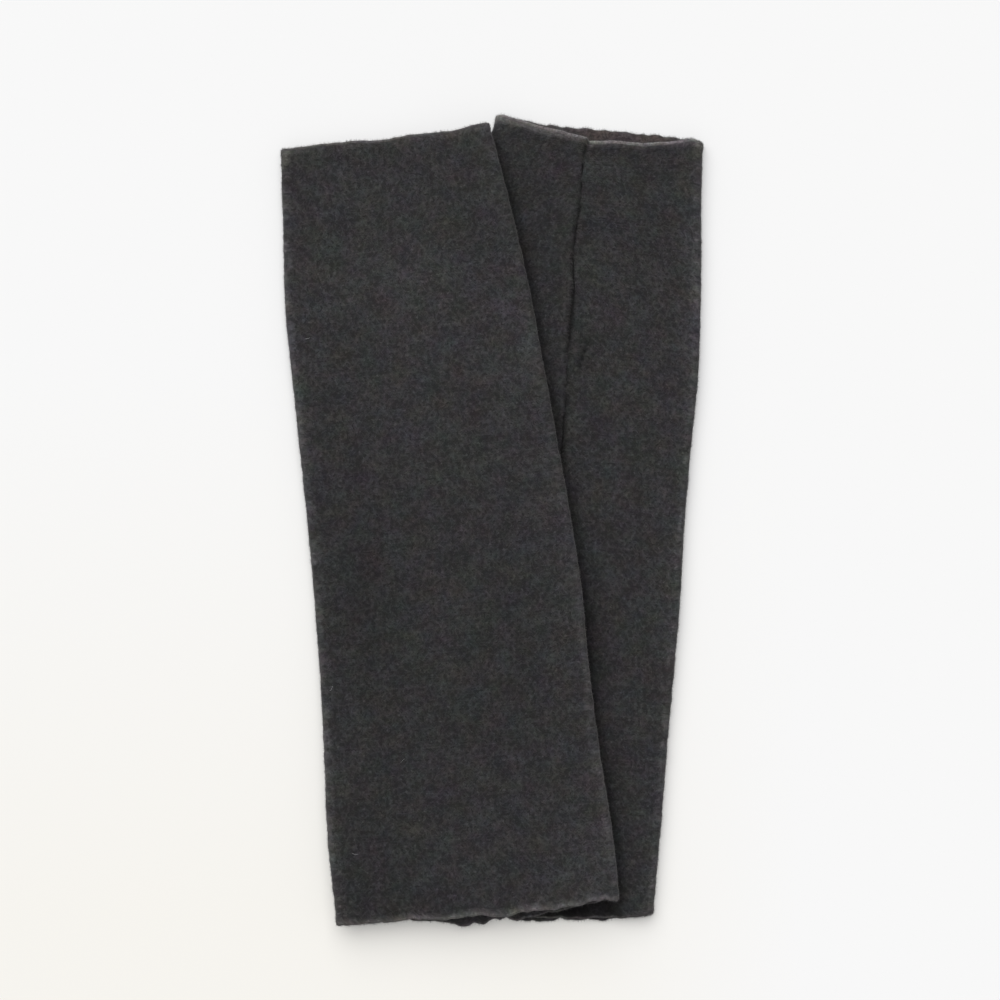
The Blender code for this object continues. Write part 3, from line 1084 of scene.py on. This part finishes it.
# %% The felt's fibres
BEND = {"scale": 0.5, "detail": 2.0}
BEND_REACH = (1.4, 1.4, 0.0)
FINE = {"scale": 0.5, "detail": 1.0}
FINE_STRETCH = (1.0, 0.8, 1.0)
FINE_RANGE = (0.17, 0.83)
STRANDS = {"scale": 0.7, "detail": 1.2}
STRAND_STRETCH = (2.0, 0.5, 1.0)
STRAND_TURN = 0.62
STRAND_RANGE = (0.44, 0.74)
CURLS = {"scale": 0.42, "detail": 1.0}
CURL_WIDTH = 0.09
FELT_SHARES = {"fine": 0.46, "strands": 0.26, "curls": 0.3}


def bent_place(tree, place):
    """Return the place moved about by a noise, so that no line of stitches runs straight."""
    wander = vector_maths(tree, "SUBTRACT", noise(tree, place, **BEND).outputs["Color"], (0.5, 0.5, 0.5))
    return vector_maths(tree, "MULTIPLY_ADD", wander, BEND_REACH, place)


def felt_fibres(tree, place, bent):
    """Return the height of felt: a fine noise, two noises stretched along the two legs of the V as strands
    are, and curls, the thin lines where one more noise is near its middle."""
    fine = noise(tree, placed(tree, place, 0.0, FINE_STRETCH), **FINE).outputs[0]
    rising, falling = (
        noise(tree, placed(tree, place, turn, STRAND_STRETCH), **STRANDS).outputs[0]
        for turn in (STRAND_TURN, -STRAND_TURN)
    )
    strands = maths(tree, "MAXIMUM", rising, falling)
    off_curl = maths(tree, "ABSOLUTE", maths(tree, "SUBTRACT", noise(tree, bent, **CURLS).outputs[0], 0.5))
    felt = maths(tree, "MULTIPLY", mapped(tree, fine, *FINE_RANGE), FELT_SHARES["fine"])
    strand_part = mapped(tree, strands, *STRAND_RANGE)
    felt = maths(tree, "MULTIPLY_ADD", strand_part, FELT_SHARES["strands"], felt)
    curl_part = mapped(tree, off_curl, 0.0, CURL_WIDTH, 1.0, 0.0)
    return maths(tree, "MULTIPLY_ADD", curl_part, FELT_SHARES["curls"], felt)


# %% How light each fleck of wool is
SPECKS = {"scale": 0.78, "detail": 0.0}
PITS = (0.33, 0.22, 0.0, 0.75)
NEPS = (0.7, 0.8, 0.0, 0.4)
BROAD = {"scale": 0.12, "detail": 2.5, "roughness": 0.7}
BROAD_SWING = (0.3, 0.7, -0.15, 0.15)
FLECK_SHARES = {"felt": 0.85, "stitches": 0.15}
FLECK_RANGE = (0.17, 0.89)
FLECK_POWER = 1.15


def wool_flecks(tree, place, felt, stitches):
    """Return how light the wool is: mostly as high as the felt, less small dark pits and with a few small
    pale knots of fibre, which are the low and high ends of one noise, and unevenly dyed."""
    specks = noise(tree, place, **SPECKS).outputs[0]
    felt_part = maths(tree, "MULTIPLY", felt, FLECK_SHARES["felt"])
    fleck = maths(tree, "ADD", felt_part, maths(tree, "MULTIPLY", stitches, FLECK_SHARES["stitches"]))
    fleck = maths(tree, "SUBTRACT", fleck, mapped(tree, specks, *PITS))
    fleck = maths(tree, "ADD", fleck, mapped(tree, specks, *NEPS))
    fleck = maths(tree, "ADD", fleck, mapped(tree, noise(tree, place, **BROAD).outputs[0], *BROAD_SWING))
    return maths(tree, "POWER", mapped(tree, fleck, *FLECK_RANGE), FLECK_POWER)


# %% The knit as a node group
FELTING = 0.6
HUE = {"scale": 0.09, "detail": 3.5, "roughness": 0.75}
HUE_STRENGTH = 0.26
GREY = (0.5, 0.5, 0.5, 1.0)
KNIT_INPUTS = (
    ("Place", "NodeSocketVector", None),
    ("Stitch width", "NodeSocketFloat", STITCH_WIDTH),
    ("Stitch length", "NodeSocketFloat", STITCH_LENGTH),
    ("Felting", "NodeSocketFloat", FELTING),
)
KNIT_OUTPUTS = (
    ("Height", "NodeSocketFloat", None),
    ("Fleck", "NodeSocketFloat", None),
    ("Tint", "NodeSocketColor", None),
)


def knit_group():
    """Build the group. Its place is in millimetres on the panel. The height is that of the stitches, mixed
    with the felt's by the felting, and the tint is a broad noise of faint colours round grey."""
    group, start, end = new_group("fulled_knit", KNIT_INPUTS, KNIT_OUTPUTS)
    place = start.outputs["Place"]
    bent = bent_place(group, place)
    stitches = v_stitches(group, bent, start.outputs["Stitch width"], start.outputs["Stitch length"])
    felt = felt_fibres(group, place, bent)
    mixed = group.nodes.new("ShaderNodeMix")
    parts = (start.outputs["Felting"], stitches, felt)
    for socket, value in zip(mixed.inputs[:1] + mixed.inputs[2:4], parts):
        connect(group, socket, value)
    connect(group, end.inputs["Height"], mixed.outputs[0])
    connect(group, end.inputs["Fleck"], wool_flecks(group, place, felt, stitches))
    hue = noise(group, place, **HUE).outputs["Color"]
    connect(group, end.inputs["Tint"], blended(group, HUE_STRENGTH, GREY, hue))
    return group


KNIT = knit_group()
print("knit group nodes:", len(KNIT.nodes))

# %% Reading the mesh's own numbers


def attribute_value(tree, name):
    """Return the number that a mesh holds under this name."""
    node = tree.nodes.new("ShaderNodeAttribute")
    node.attribute_name = name
    return node.outputs["Fac"]


def panel_uv(tree):
    """Return the place on the panel, in UV units."""
    node = tree.nodes.new("ShaderNodeUVMap")
    node.uv_map = "panel"
    return node.outputs["UV"]


def scaled(tree, vector, factor):
    """Return a vector or a colour times a number."""
    node = tree.nodes.new("ShaderNodeVectorMath")
    node.operation = "SCALE"
    connect(tree, node.inputs[0], vector)
    connect(tree, node.inputs["Scale"], factor)
    return node.outputs[0]


def knit_here(tree):
    """Place the group in a material, at this spot of the panel, and return its node."""
    knit = tree.nodes.new("ShaderNodeGroup")
    knit.node_tree = KNIT
    connect(tree, knit.inputs["Place"], scaled(tree, panel_uv(tree), UV_UNIT))
    return knit


def tinted(tree, colour, tint):
    """Return the colour times twice the tint, so that a middle grey tint changes nothing."""
    return scaled(tree, blended(tree, 1.0, colour, tint, "MULTIPLY"), 2.0)


# %% Rungs beside the seam
RUNG_STEP = 2.0
RUNG_BEND = {"scale": 0.4 * UV_UNIT, "detail": 1.0}
RUNG_BEND_REACH = 2.0
RUNG_GAPS = {"scale": 0.09 * UV_UNIT, "detail": 1.0}
RUNG_RANGE = (0.42, 0.62, 0.05, 0.6)


def sewing_rungs(tree):
    """Return the rungs that the sewing thread presses into the cloth beside a seam: a wave along the panel.
    One noise bends it, so that no two rungs are alike, and another leaves it out in places."""
    uv = panel_uv(tree)
    bent = maths(tree, "MULTIPLY", noise(tree, uv, **RUNG_BEND).outputs[0], RUNG_BEND_REACH)
    along = maths(tree, "MULTIPLY", split_xyz(tree, uv)["Y"], UV_UNIT / RUNG_STEP)
    wave = maths(tree, "SINE", maths(tree, "MULTIPLY", maths(tree, "ADD", along, bent), 2 * np.pi))
    here = mapped(tree, noise(tree, uv, **RUNG_GAPS).outputs[0], *RUNG_RANGE)
    return maths(tree, "MULTIPLY", wave, here)


# %% The cloth's material
WOOL_DARK = (0.0185, 0.0180, 0.0186, 1.0)
WOOL_LIGHT = (0.0488, 0.0475, 0.0490, 1.0)
# The lining's brown, lighter than the wool: the lightness is partly painted light at the lit wrist end.
INSIDE_DARK = (0.034, 0.027, 0.028, 1.0)
INSIDE_LIGHT = (0.094, 0.075, 0.075, 1.0)
# Pale cut edges, with their painted highlight:
CUT_DARK = (0.131, 0.121, 0.119, 1.0)
CUT_LIGHT = (0.265, 0.250, 0.247, 1.0)
# Painted shade in the seam's slit:
SLIT_SHADE_COLOUR = (0.006, 0.006, 0.006, 1.0)
# How much the painted sheen on the folds lightens the wool:
FOLD_SHEEN_LIFT = 1.15
MOST_INSIDE = 0.85
# How deep in the slit the painted shade begins and how strong it gets:
SLIT_SHADE_RANGE = (0.2, 0.9, 0.0, 0.75)
CLOTH_ROUGHNESS = 0.95
CLOTH_LOOK = {
    "Specular IOR Level": 0.12,
    "Sheen Weight": 0.15,
    "Sheen Roughness": 0.4,
    "Sheen Tint": (0.9, 0.88, 0.88, 1.0),
}
BUMP_STRENGTH = 0.7
BUMP_HEIGHT = 0.3


def cloth_colour(tree, knit):
    """Return the cloth's colour: flecked charcoal, lightened by the folds' painted sheen, lighter or darker
    by tone, painted shade and painted highlight, pale at a cut edge with its painted highlight, browner
    inside with painted light at the wrist, and nearly black with painted shade in the slit of the seam."""
    fold_sheen, paler, inside, pale_edge_and_highlight, slit_shade = (
        attribute_value(tree, name) for name in ("fold_sheen", "paler", "inside", "pale_edge_and_highlight", "slit_shade")
    )
    wool, lining, cut = (
        blended(tree, knit.outputs["Fleck"], dark, light)
        for dark, light in ((WOOL_DARK, WOOL_LIGHT), (INSIDE_DARK, INSIDE_LIGHT), (CUT_DARK, CUT_LIGHT))
    )
    # The folds' painted sheen, and tone with painted shade and painted highlight, lift or lower the wool.
    lift = maths(tree, "MULTIPLY_ADD", fold_sheen, FOLD_SHEEN_LIFT, paler)
    wool = scaled(tree, wool, maths(tree, "ADD", lift, 1.0))
    # The inside's brown with its painted light.
    face = blended(tree, maths(tree, "MULTIPLY", inside, MOST_INSIDE), wool, lining)
    # Pale cut edges with their painted highlight.
    edged = blended(tree, pale_edge_and_highlight, face, cut)
    # Painted shade in the seam's slit and in the tuck.
    edged = blended(tree, mapped(tree, slit_shade, *SLIT_SHADE_RANGE), edged, SLIT_SHADE_COLOUR)
    return tinted(tree, edged, knit.outputs["Tint"])


def cloth_material(name):
    """Return the cloth's material: its colour, the bump of stitches, fibres and rungs, and a faint sheen."""
    material, shader = plain_material(name, WOOL_DARK, CLOTH_ROUGHNESS)
    tree = material.node_tree
    knit = knit_here(tree)
    connect(tree, shader.inputs["Base Color"], cloth_colour(tree, knit))
    rung_depth = maths(tree, "MULTIPLY", sewing_rungs(tree), attribute_value(tree, "sewn"))
    bump = tree.nodes.new("ShaderNodeBump")
    bump.inputs["Strength"].default_value = BUMP_STRENGTH
    bump.inputs["Distance"].default_value = BUMP_HEIGHT * METRES
    connect(tree, bump.inputs["Height"], maths(tree, "ADD", knit.outputs["Height"], rung_depth))
    connect(tree, shader.inputs["Normal"], bump.outputs["Normal"])
    for socket, value in CLOTH_LOOK.items():
        shader.inputs[socket].default_value = value
    return material


charcoal_cloth = cloth_material("charcoal_cloth")

# %% The loose hairs' material
HAIR_DARK = (0.022, 0.0215, 0.022, 1.0)
HAIR_LIGHT = (0.085, 0.082, 0.083, 1.0)
LINT_COLOUR = (0.40, 0.40, 0.41, 1.0)
HAIR_ROUGHNESS = 0.8
HAIR_SPECULAR = 0.15
LINT_SHADE = 2.0


def hair_material(name):
    """Return the hairs' material: each hair's own shade, with the wool's tint, and above 1 it is lint."""
    material, shader = plain_material(name, HAIR_DARK, HAIR_ROUGHNESS)
    tree = material.node_tree
    shade = attribute_value(tree, "shade")
    wool = blended(tree, mapped(tree, shade, 0.0, 1.0), HAIR_DARK, HAIR_LIGHT)
    own = tinted(tree, wool, knit_here(tree).outputs["Tint"])
    as_lint = mapped(tree, shade, 1.0, LINT_SHADE)
    connect(tree, shader.inputs["Base Color"], blended(tree, as_lint, own, LINT_COLOUR))
    shader.inputs["Specular IOR Level"].default_value = HAIR_SPECULAR
    return material


charcoal_hair = hair_material("charcoal_hair")

# %% [markdown]
# ## Loose hairs
#
# Felted wool is never smooth at its edge: short fibres stand out of it, so its outline looks soft and its
# folds catch light. Each hair is a bent spike with three sides, rooted in the cloth. Most lie along the
# surface, and a few stand up. Folds and cut edges get more, because there the fibres are pulled free.
#
# Blender's own hair could grow on the mesh, but a model of real triangles can be used anywhere. So the
# hairs are worked out as arrays, thousands at a time.

# %% Where hairs grow
UNDER_HAIRS = 0.02
FACING_START = -0.9
FACING_RUN = 0.7
FOLD_REACH = 3.0
INNER_FOLD_HAIRS = 0.7
HEM_HAIRS = 2.5
HEM_HAIR_RUN = 0.9
SEAM_HAIRS = 0.15
SEAM_HAIR_WIDTH = 1.6
LEAST_HALO = 0.004
LEAST_ODDS = 1e-6


def hair_odds(grids, covered):
    """Return how likely a hair is at each point of the outside, for the nap, the halo and the edge fluff,
    and how near a hem it is. The nap is even. The halo is mostly near the hems, and on the sides of the
    folds and beside the seam. The fluff is on the folds alone. All are nearly nothing where the cloth
    faces the table or another layer."""
    facing = grids["normals"][..., 2]
    seen = np.maximum(smooth_step((facing - FACING_START) / FACING_RUN) * (1 - covered), UNDER_HAIRS)
    side = np.where(grids["from_fold"] < FOLD_REACH, np.clip(1 - facing ** 2, 0, 1) ** 2, 0.0)
    side = side * np.where(grids["across"] > 0.5, INNER_FOLD_HAIRS, 1.0)
    inwards = np.minimum(grids["from_wrist"], grids["length"] - grids["from_wrist"]) - RIM_REACH
    hem = np.exp(-inwards / HEM_HAIR_RUN)
    seam = bell(grids["off_seam"], SEAM_HAIR_WIDTH)
    halo = seen * (LEAST_HALO + side + SEAM_HAIRS * seam) + HEM_HAIRS * hem * (1 - covered)
    return seen, halo, seen * side + LEAST_ODDS, hem


# %% Places drawn on the cloth


def pick_roots(outside, odds, count, rng):
    """Draw places on the outside. A grid square is drawn with odds of its area times its own, and two random
    shares give the place in it. Returns the squares' rows and columns and the four corners' shares."""
    right = np.roll(outside, -1, axis=1)[:-1] - outside[:-1]
    down = outside[1:] - outside[:-1]
    chance = np.linalg.norm(np.cross(right, down), axis=-1) * odds[:-1]
    picked = rng.choice(chance.size, count, p=chance.ravel() / chance.sum())
    row, column = np.divmod(picked, chance.shape[1])
    s, t = rng.random((2, count))
    shares = np.stack([(1 - s) * (1 - t), s * (1 - t), (1 - s) * t, s * t])
    return row, column, shares


def at_roots(grid, row, column, shares):
    """Return the grid's values at the drawn places, blended from the four corners of each square."""
    beside = (column + 1) % grid.shape[1]
    corners = np.stack([grid[row, column], grid[row, beside], grid[row + 1, column], grid[row + 1, beside]])
    return np.einsum("cn,cnk->nk", shares, corners)


# %% The shape of many hairs at once
HAIR_SIDES = 3
TIP_THINNER = 0.6


def hair_points(roots, directions, bends, lengths, radius, joints):
    """Return each hair's points. Its line is root + length (direction t + bend t^2), with t from 0 to 1.
    Round the line stand rings of three points, one for each joint, thinning towards the tip, which is one
    point."""
    t = (np.arange(joints) / joints)[None, :, None]
    scale = lengths[:, None, None]
    line = roots[:, None] + scale * (directions[:, None] * t + bends[:, None] * t ** 2)
    helper = np.where(np.abs(directions[:, 2:]) < 0.8, [[0.0, 0.0, 1.0]], [[1.0, 0.0, 0.0]])
    side = unit(np.cross(helper, directions))
    other = np.cross(directions, side)
    turn = 2 * np.pi * np.arange(HAIR_SIDES) / HAIR_SIDES
    round_line = side[:, None] * np.cos(turn)[:, None] + other[:, None] * np.sin(turn)[:, None]
    rings = line[:, :, None] + radius * (1 - TIP_THINNER * t[..., None]) * round_line[:, None]
    tips = roots + lengths[:, None] * (directions + bends)
    return np.concatenate([rings.reshape(len(roots), -1, 3), tips[:, None]], axis=1)


def hair_faces(count, joints):
    """Return the triangles of all hairs, and how many each has: a cap at the root, two for each side of
    each length between joints, and three that meet at the tip."""
    corner = np.arange(HAIR_SIDES)
    after = (corner + 1) % HAIR_SIDES
    tip = np.full(HAIR_SIDES, HAIR_SIDES * joints)
    parts = [np.array([[0, 2, 1]])]
    for joint in range(joints - 1):
        low, high = joint * HAIR_SIDES, (joint + 1) * HAIR_SIDES
        parts.append(np.stack([low + corner, low + after, high + after], axis=1))
        parts.append(np.stack([low + corner, high + after, high + corner], axis=1))
    last = (joints - 1) * HAIR_SIDES
    parts.append(np.stack([last + corner, last + after, tip], axis=1))
    one = np.concatenate(parts)
    first = np.arange(count) * (HAIR_SIDES * joints + 1)
    return (first[:, None, None] + one).reshape(-1, 3), len(one)


# %% Kinds of hair
HAIR_COLUMNS = ("count", "joints", "shortest", "longest", "lowest", "steepest", "bend", "radius")
NAP = dict(zip(HAIR_COLUMNS, (6500, 1, 0.35, 1.0, 5.0, 40.0, 0.0, 0.036)))
HALO = dict(zip(HAIR_COLUMNS, (12400, 2, 0.4, 1.4, 10.0, 80.0, 0.45, 0.036)))
FLUFF = dict(zip(HAIR_COLUMNS, (12000, 1, 0.3, 0.95, 20.0, 85.0, 0.0, 0.042)))


def panel_place(grids, row, column, corner_count):
    """Return the roots' places on the panel, in UV units, once for each corner of each hair's faces."""
    place = np.stack([grids["around"][row, column], grids["from_wrist"][row, column]], axis=1) / UV_UNIT
    return np.repeat(place, corner_count, axis=0)


# %% Grow one kind of hair
ROOT_DEPTH = 0.12
HEM_LEAN = 1.2
HEM_LEAN_RUN = 1.5
MOST_DROOP = 0.5
SHADE_ODDS = (2.0, 2.6)
HEM_PALER = 0.4
# Hairs on a fold are lighter with the fold's painted sheen:
FOLD_SHEEN_PALER = 0.35
LEAST_HEIGHT = 0.02


def grow(kind, grids, odds, rng):
    """Return the points, faces, shades and panel places of one kind of hair. A hair leaves the surface at a
    random angle, in a random direction round the normal, and bends to a random side and a little down.
    Near a hem it leans out over the edge and is lighter, and on a fold it is lighter with the fold's painted
    sheen."""
    count, joints = kind["count"], kind["joints"]
    row, column, shares = pick_roots(grids["outside"], odds, count, rng)
    root, normal = (at_roots(grids[name], row, column, shares) for name in ("outside", "normals"))
    normal = unit(normal)
    forward = grids["along"][row, column]
    down = grids["from_wrist"][row, column][:, None]
    lean = np.exp(-(grids["length"] - down) / HEM_LEAN_RUN) - np.exp(-down / HEM_LEAN_RUN)
    bearing = rng.uniform(0, 2 * np.pi, (count, 1))
    rise = np.radians(rng.uniform(kind["lowest"], kind["steepest"], (count, 1)))
    flat = forward * np.cos(bearing) + np.cross(normal, forward) * np.sin(bearing)
    direction = unit(flat * np.cos(rise) + normal * np.sin(rise) + HEM_LEAN * lean * forward)
    swerve = np.cross(normal, flat) * rng.uniform(-1, 1, (count, 1))
    swerve = swerve - normal * rng.uniform(0, MOST_DROOP, (count, 1))
    length = rng.uniform(kind["shortest"], kind["longest"], count)
    start = root - normal * ROOT_DEPTH
    points = hair_points(start, direction, swerve * kind["bend"], length, kind["radius"], joints)
    points[..., 2] = np.maximum(points[..., 2], LEAST_HEIGHT)
    faces, faces_each = hair_faces(count, joints)
    shades = rng.beta(*SHADE_ODDS, count) + HEM_PALER * grids["hem"][row, column]
    shades = np.minimum(shades + FOLD_SHEEN_PALER * grids["fold_sheen"][row, column], 1.0)
    shades = np.repeat(shades, points.shape[1])
    return points.reshape(-1, 3), faces, shades, panel_place(grids, row, column, 3 * faces_each)


# %% Lint that has settled on the upper warmer
LINT_PLACES = ((-71.3, 69.6), (-52.8, -127.1), (-33.2, -90.9), (-62.1, -65.2))
LINT_LENGTH = 2.4
LINT_RADIUS = 0.05
LINT_JOINTS = 5
LINT_RISE = 0.12
LINT_BEND = 0.35
FAR = 1e6


def lay_lint(grids, rng):
    """Return pale fibres in the same form as grown hair: each lies nearly flat at the point of the outside
    that is nearest to its place, seen from above."""
    flat = grids["outside"].reshape(-1, 3)
    turned_away = np.where(grids["normals"].reshape(-1, 3)[:, 2] > 0.5, 0.0, FAR)
    nearest = np.array([
        np.argmin(np.hypot(flat[:, 0] - x, flat[:, 1] - y) + turned_away) for x, y in LINT_PLACES
    ])
    row, column = np.divmod(nearest, grids["outside"].shape[1])
    count = len(nearest)
    bearing = rng.uniform(0, 2 * np.pi, count)
    direction = unit(np.stack([np.cos(bearing), np.sin(bearing), np.full(count, LINT_RISE)], axis=1))
    bend = np.stack([-np.sin(bearing), np.cos(bearing), np.zeros(count)], axis=1) * LINT_BEND
    start = flat[nearest] + [0, 0, LINT_RADIUS]
    points = hair_points(start, direction, bend, np.full(count, LINT_LENGTH), LINT_RADIUS, LINT_JOINTS)
    faces, faces_each = hair_faces(count, LINT_JOINTS)
    shades = np.full(count * points.shape[1], LINT_SHADE)
    return points.reshape(-1, 3), faces, shades, panel_place(grids, row, column, 3 * faces_each)


# %% Join the hairs of a warmer


def link_fuzz(name, batches):
    """Join batches of hair into one mesh, with each point's shade and each corner's place on the panel."""
    points, faces, shades, places = zip(*batches)
    first_points = np.cumsum([0] + [len(batch) for batch in points])
    faces = np.concatenate([batch + first for batch, first in zip(faces, first_points)])
    fuzz = link_mesh(name, np.concatenate(points), faces, charcoal_hair)
    add_point_mark(fuzz.data, "shade", np.concatenate(shades))
    add_panel_uvs(fuzz.data, np.concatenate(places))
    print(name, "triangles:", len(faces))
    return fuzz


# %% [markdown]
# ## The two warmers
#
# Now the pieces come together. Each wall's outline follows the solid that it takes the place of. The cut of
# each panel is measured on the middle surface, by unrolling it: the width of a row is the sum of its steps
# round the ring.

# %% The cut of a panel
NICKED_ROWS = 6


def around_panel(middle):
    """Return each point's distance round the ring from the panel's middle line, opposite the seam, and each
    row's whole length."""
    steps = np.linalg.norm(np.roll(middle, -1, axis=1) - middle, axis=-1)
    total = steps.sum(axis=1)
    return np.cumsum(steps, axis=1) - steps - total[:, None] / 2, total


def cut_of(middle, widths):
    """Return the panel's widest row clear of the nicks, its length, and its flat area, in millimetres."""
    row_gaps = np.linalg.norm(np.diff(middle.mean(axis=1), axis=0), axis=-1)
    area = ((widths[1:] + widths[:-1]) / 2 * row_gaps).sum()
    return widths[NICKED_ROWS:-NICKED_ROWS].max(), row_gaps.sum() + 2 * RIM_REACH, area


# %% Work out a wall


def work_out_wall(warmer, creases, on_lower, seed):
    """Return a wall as loops by ring by xyz, and what was worked out on the way, by name: the middle
    surface, grids over the outside, the panel's widths, the rows that the inside keeps, and 1 or -1."""
    middle, across, front, from_wrist, off_seam = middle_surface(warmer, creases, on_lower, seed)
    normals, along, upright = outward_normals(middle, front)
    around, widths = around_panel(middle)
    from_fold = np.minimum(across, 1 - across) * np.ptp(middle[..., 0], axis=1)[:, None]
    relief, slit = felt_relief(around, from_wrist, from_fold, off_seam, front, seed)
    if warmer["seam_in_front"]:
        tuck = tuck_depth(middle[..., 0], middle[..., 1]) * (front > 0.5)
        # The tuck's depth joins the slit's, so the tuck gets painted shade too.
        relief, slit = relief - TUCK["depth"] * tuck, np.maximum(slit, tuck)
    kept = row_lengths(warmer["length"])[1]
    wall = closed_loops(middle, normals, along, relief, kept)
    wall[..., 2] = np.maximum(wall[..., 2], 0.0)
    return wall, {
        "middle": middle, "across": across, "front": front, "from_wrist": from_wrist, "off_seam": off_seam,
        "from_fold": from_fold, "around": around, "along": along, "slit": slit,
        "widths": widths, "kept": kept, "upright": upright,
    }


# %% Put a wall into a mesh


def link_wall(name, wall, made):
    """Put a wall into a mesh with its UV map, and return the object. Down a loop, each rim's run is half a
    circle as thick as the cloth."""
    down, kept = made["from_wrist"][:, 0], made["kept"]
    rows, arc = len(down), CLOTH * RIM_TURN / 2
    inner = down[-1] + arc[-1] + (down[-1] - down[kept])[::-1]
    loop = np.concatenate([down, down[-1] + arc, inner, inner[-1] + arc])
    source = [np.arange(rows), np.full(RIM_STEPS, rows - 1), kept[::-1], np.zeros(RIM_STEPS, int)]
    source = np.concatenate(source)
    turned = slice(None, None, int(made["upright"]))
    faces = torus_faces(*wall.shape[:2])[:, turned]
    uvs = corner_uvs(made["around"][source], loop, made["widths"][source], loop[-1] + CLOTH)
    piece = link_mesh(name, wall.reshape(-1, 3), faces, charcoal_cloth)
    add_panel_uvs(piece.data, uvs[:, turned])
    piece.data.shade_smooth()
    box = np.ptp(wall.reshape(-1, 3), axis=0)
    print(name, "triangles:", 2 * len(faces), "box, in mm:", np.round(box, 1))
    return piece


# %% Mark a wall for its material
GRAIN_SIZE = (1.7, 2.4)
SEWN_PLACE = 0.9
SEWN_WIDTH = 1.0


def wall_marks(warmer, patches, on_lower, wall, made, seed):
    """Return the numbers that the cloth's material reads, each as loops by ring."""
    across, from_wrist, from_fold = made["across"], made["from_wrist"], made["from_fold"]
    rows = len(across)
    grain = soft_noise(made["around"] / GRAIN_SIZE[0], from_wrist / GRAIN_SIZE[1], seed + 90)
    strength = np.interp(across, *warmer["glow_across"])
    inside = inside_brown_and_light_mark(rows, made["kept"], across.shape[1])
    pale_edge_and_highlight = pale_edge_and_highlight_mark(
        warmer["glow"], strength, from_wrist, made["kept"], from_fold, made["front"], grain
    )
    slit_shade, fold_sheen, paler, sewn = np.zeros((4, *wall.shape[:2]))
    # The slit's depth also sets its painted shade.
    slit = made["slit"]
    slit_shade[:rows], slit_shade[rows:rows + RIM_STEPS], slit_shade[-RIM_STEPS:] = slit, slit[-1], slit[0]
    # Painted sheen on the folds; then tone with painted shade and highlight, and painted light by the inner
    # fold.
    fold_sheen[:rows] = painted_fold_sheen(warmer, across, from_fold, from_wrist / warmer["length"], grain)
    x, y = wall[:rows, :, 0], wall[:rows, :, 1]
    paler[:rows] = tone_shade_and_highlight_patches(patches, x, y) + painted_fold_highlight_and_shade(on_lower, x, y, across, from_fold)
    sewn[:rows] = bell(np.abs(made["off_seam"]) - SEWN_PLACE, SEWN_WIDTH)
    return {
        "inside": inside, "pale_edge_and_highlight": pale_edge_and_highlight, "slit_shade": slit_shade,
        "fold_sheen": fold_sheen, "paler": paler, "sewn": sewn,
    }


# %% Build a wall
HAIRY_GRIDS = ("across", "around", "from_wrist", "off_seam", "front", "along", "from_fold")


def hairy_grids(warmer, wall, made, fold_sheen):
    """Return the grids that hairs need, which go on over both rims, because hairs grow there too."""
    rows = len(made["across"])
    hairy = np.concatenate([wall[-RIM_STEPS:], wall[:rows + RIM_STEPS]])
    grids = {name: made[name] for name in HAIRY_GRIDS} | {"fold_sheen": fold_sheen[:rows]}
    for name, grid in grids.items():
        over_rims = [(RIM_STEPS, RIM_STEPS)] + [(0, 0)] * (grid.ndim - 1)
        grids[name] = np.pad(grid, over_rims, mode="edge")
    normals = grid_normals(hairy) * made["upright"]
    return grids | {"outside": hairy, "normals": normals, "length": warmer["length"]}


def build_wall(name, warmer, creases, patches, on_lower, seed):
    """Make the wall of one warmer. Return it, the panel's cut, and the grids that its hairs need."""
    wall, made = work_out_wall(warmer, creases, on_lower, seed)
    piece = link_wall(name, wall, made)
    marks = wall_marks(warmer, patches, on_lower, wall, made, seed)
    for mark, values in marks.items():
        add_point_mark(piece.data, mark, values)
    cut = cut_of(made["middle"], made["widths"])
    print("cut of its panel, in mm and square mm:", np.round(cut, 1))
    return piece, cut, hairy_grids(warmer, wall, made, marks["fold_sheen"])


lower, lower_cut, lower_grids = build_wall("lower_wall", LOWER, LOWER_CREASES, LOWER_PATCHES, False, 11)
upper, upper_cut, upper_grids = build_wall("upper_wall", UPPER, UPPER_CREASES, UPPER_PATCHES, True, 23)

# %% Grow the hairs


def build_fuzz(name, grids, covered, lint, seed):
    """Grow every kind of hair on a wall, and lay lint on it if asked."""
    rng = np.random.default_rng(seed)
    *odds, grids["hem"] = hair_odds(grids, covered)
    batches = [grow(kind, grids, own_odds, rng) for kind, own_odds in zip((NAP, HALO, FLUFF), odds)]
    if lint:
        batches.append(lay_lint(grids, rng))
    return link_fuzz(name, batches)


lower_x, lower_y = np.moveaxis(lower_grids["outside"][..., :2], -1, 0)
under_upper = (1 - lies_free(lower_x, lower_y)) * lower_grids["front"]
lower_fuzz = build_fuzz("lower_fuzz", lower_grids, under_upper, False, 41)
upper_fuzz = build_fuzz("upper_fuzz", upper_grids, 0.0, True, 42)

# %% [markdown]
# ## What the pieces stand for
#
# The pair is a part that others will use, so each piece says what it belongs to. All four ride on the root.
# A wall replaces its solid, and its hairs go with it.

# %% Tie the pieces to the solids that they stand for
for wall, fuzz, node, cut, rests_on in (
    (lower, lower_fuzz, "warmer_lower", lower_cut, []),
    (upper, upper_fuzz, "warmer_upper", upper_cut, ["lower_wall"]),
):
    for piece in (wall, fuzz):
        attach(piece, "root")
    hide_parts(node)
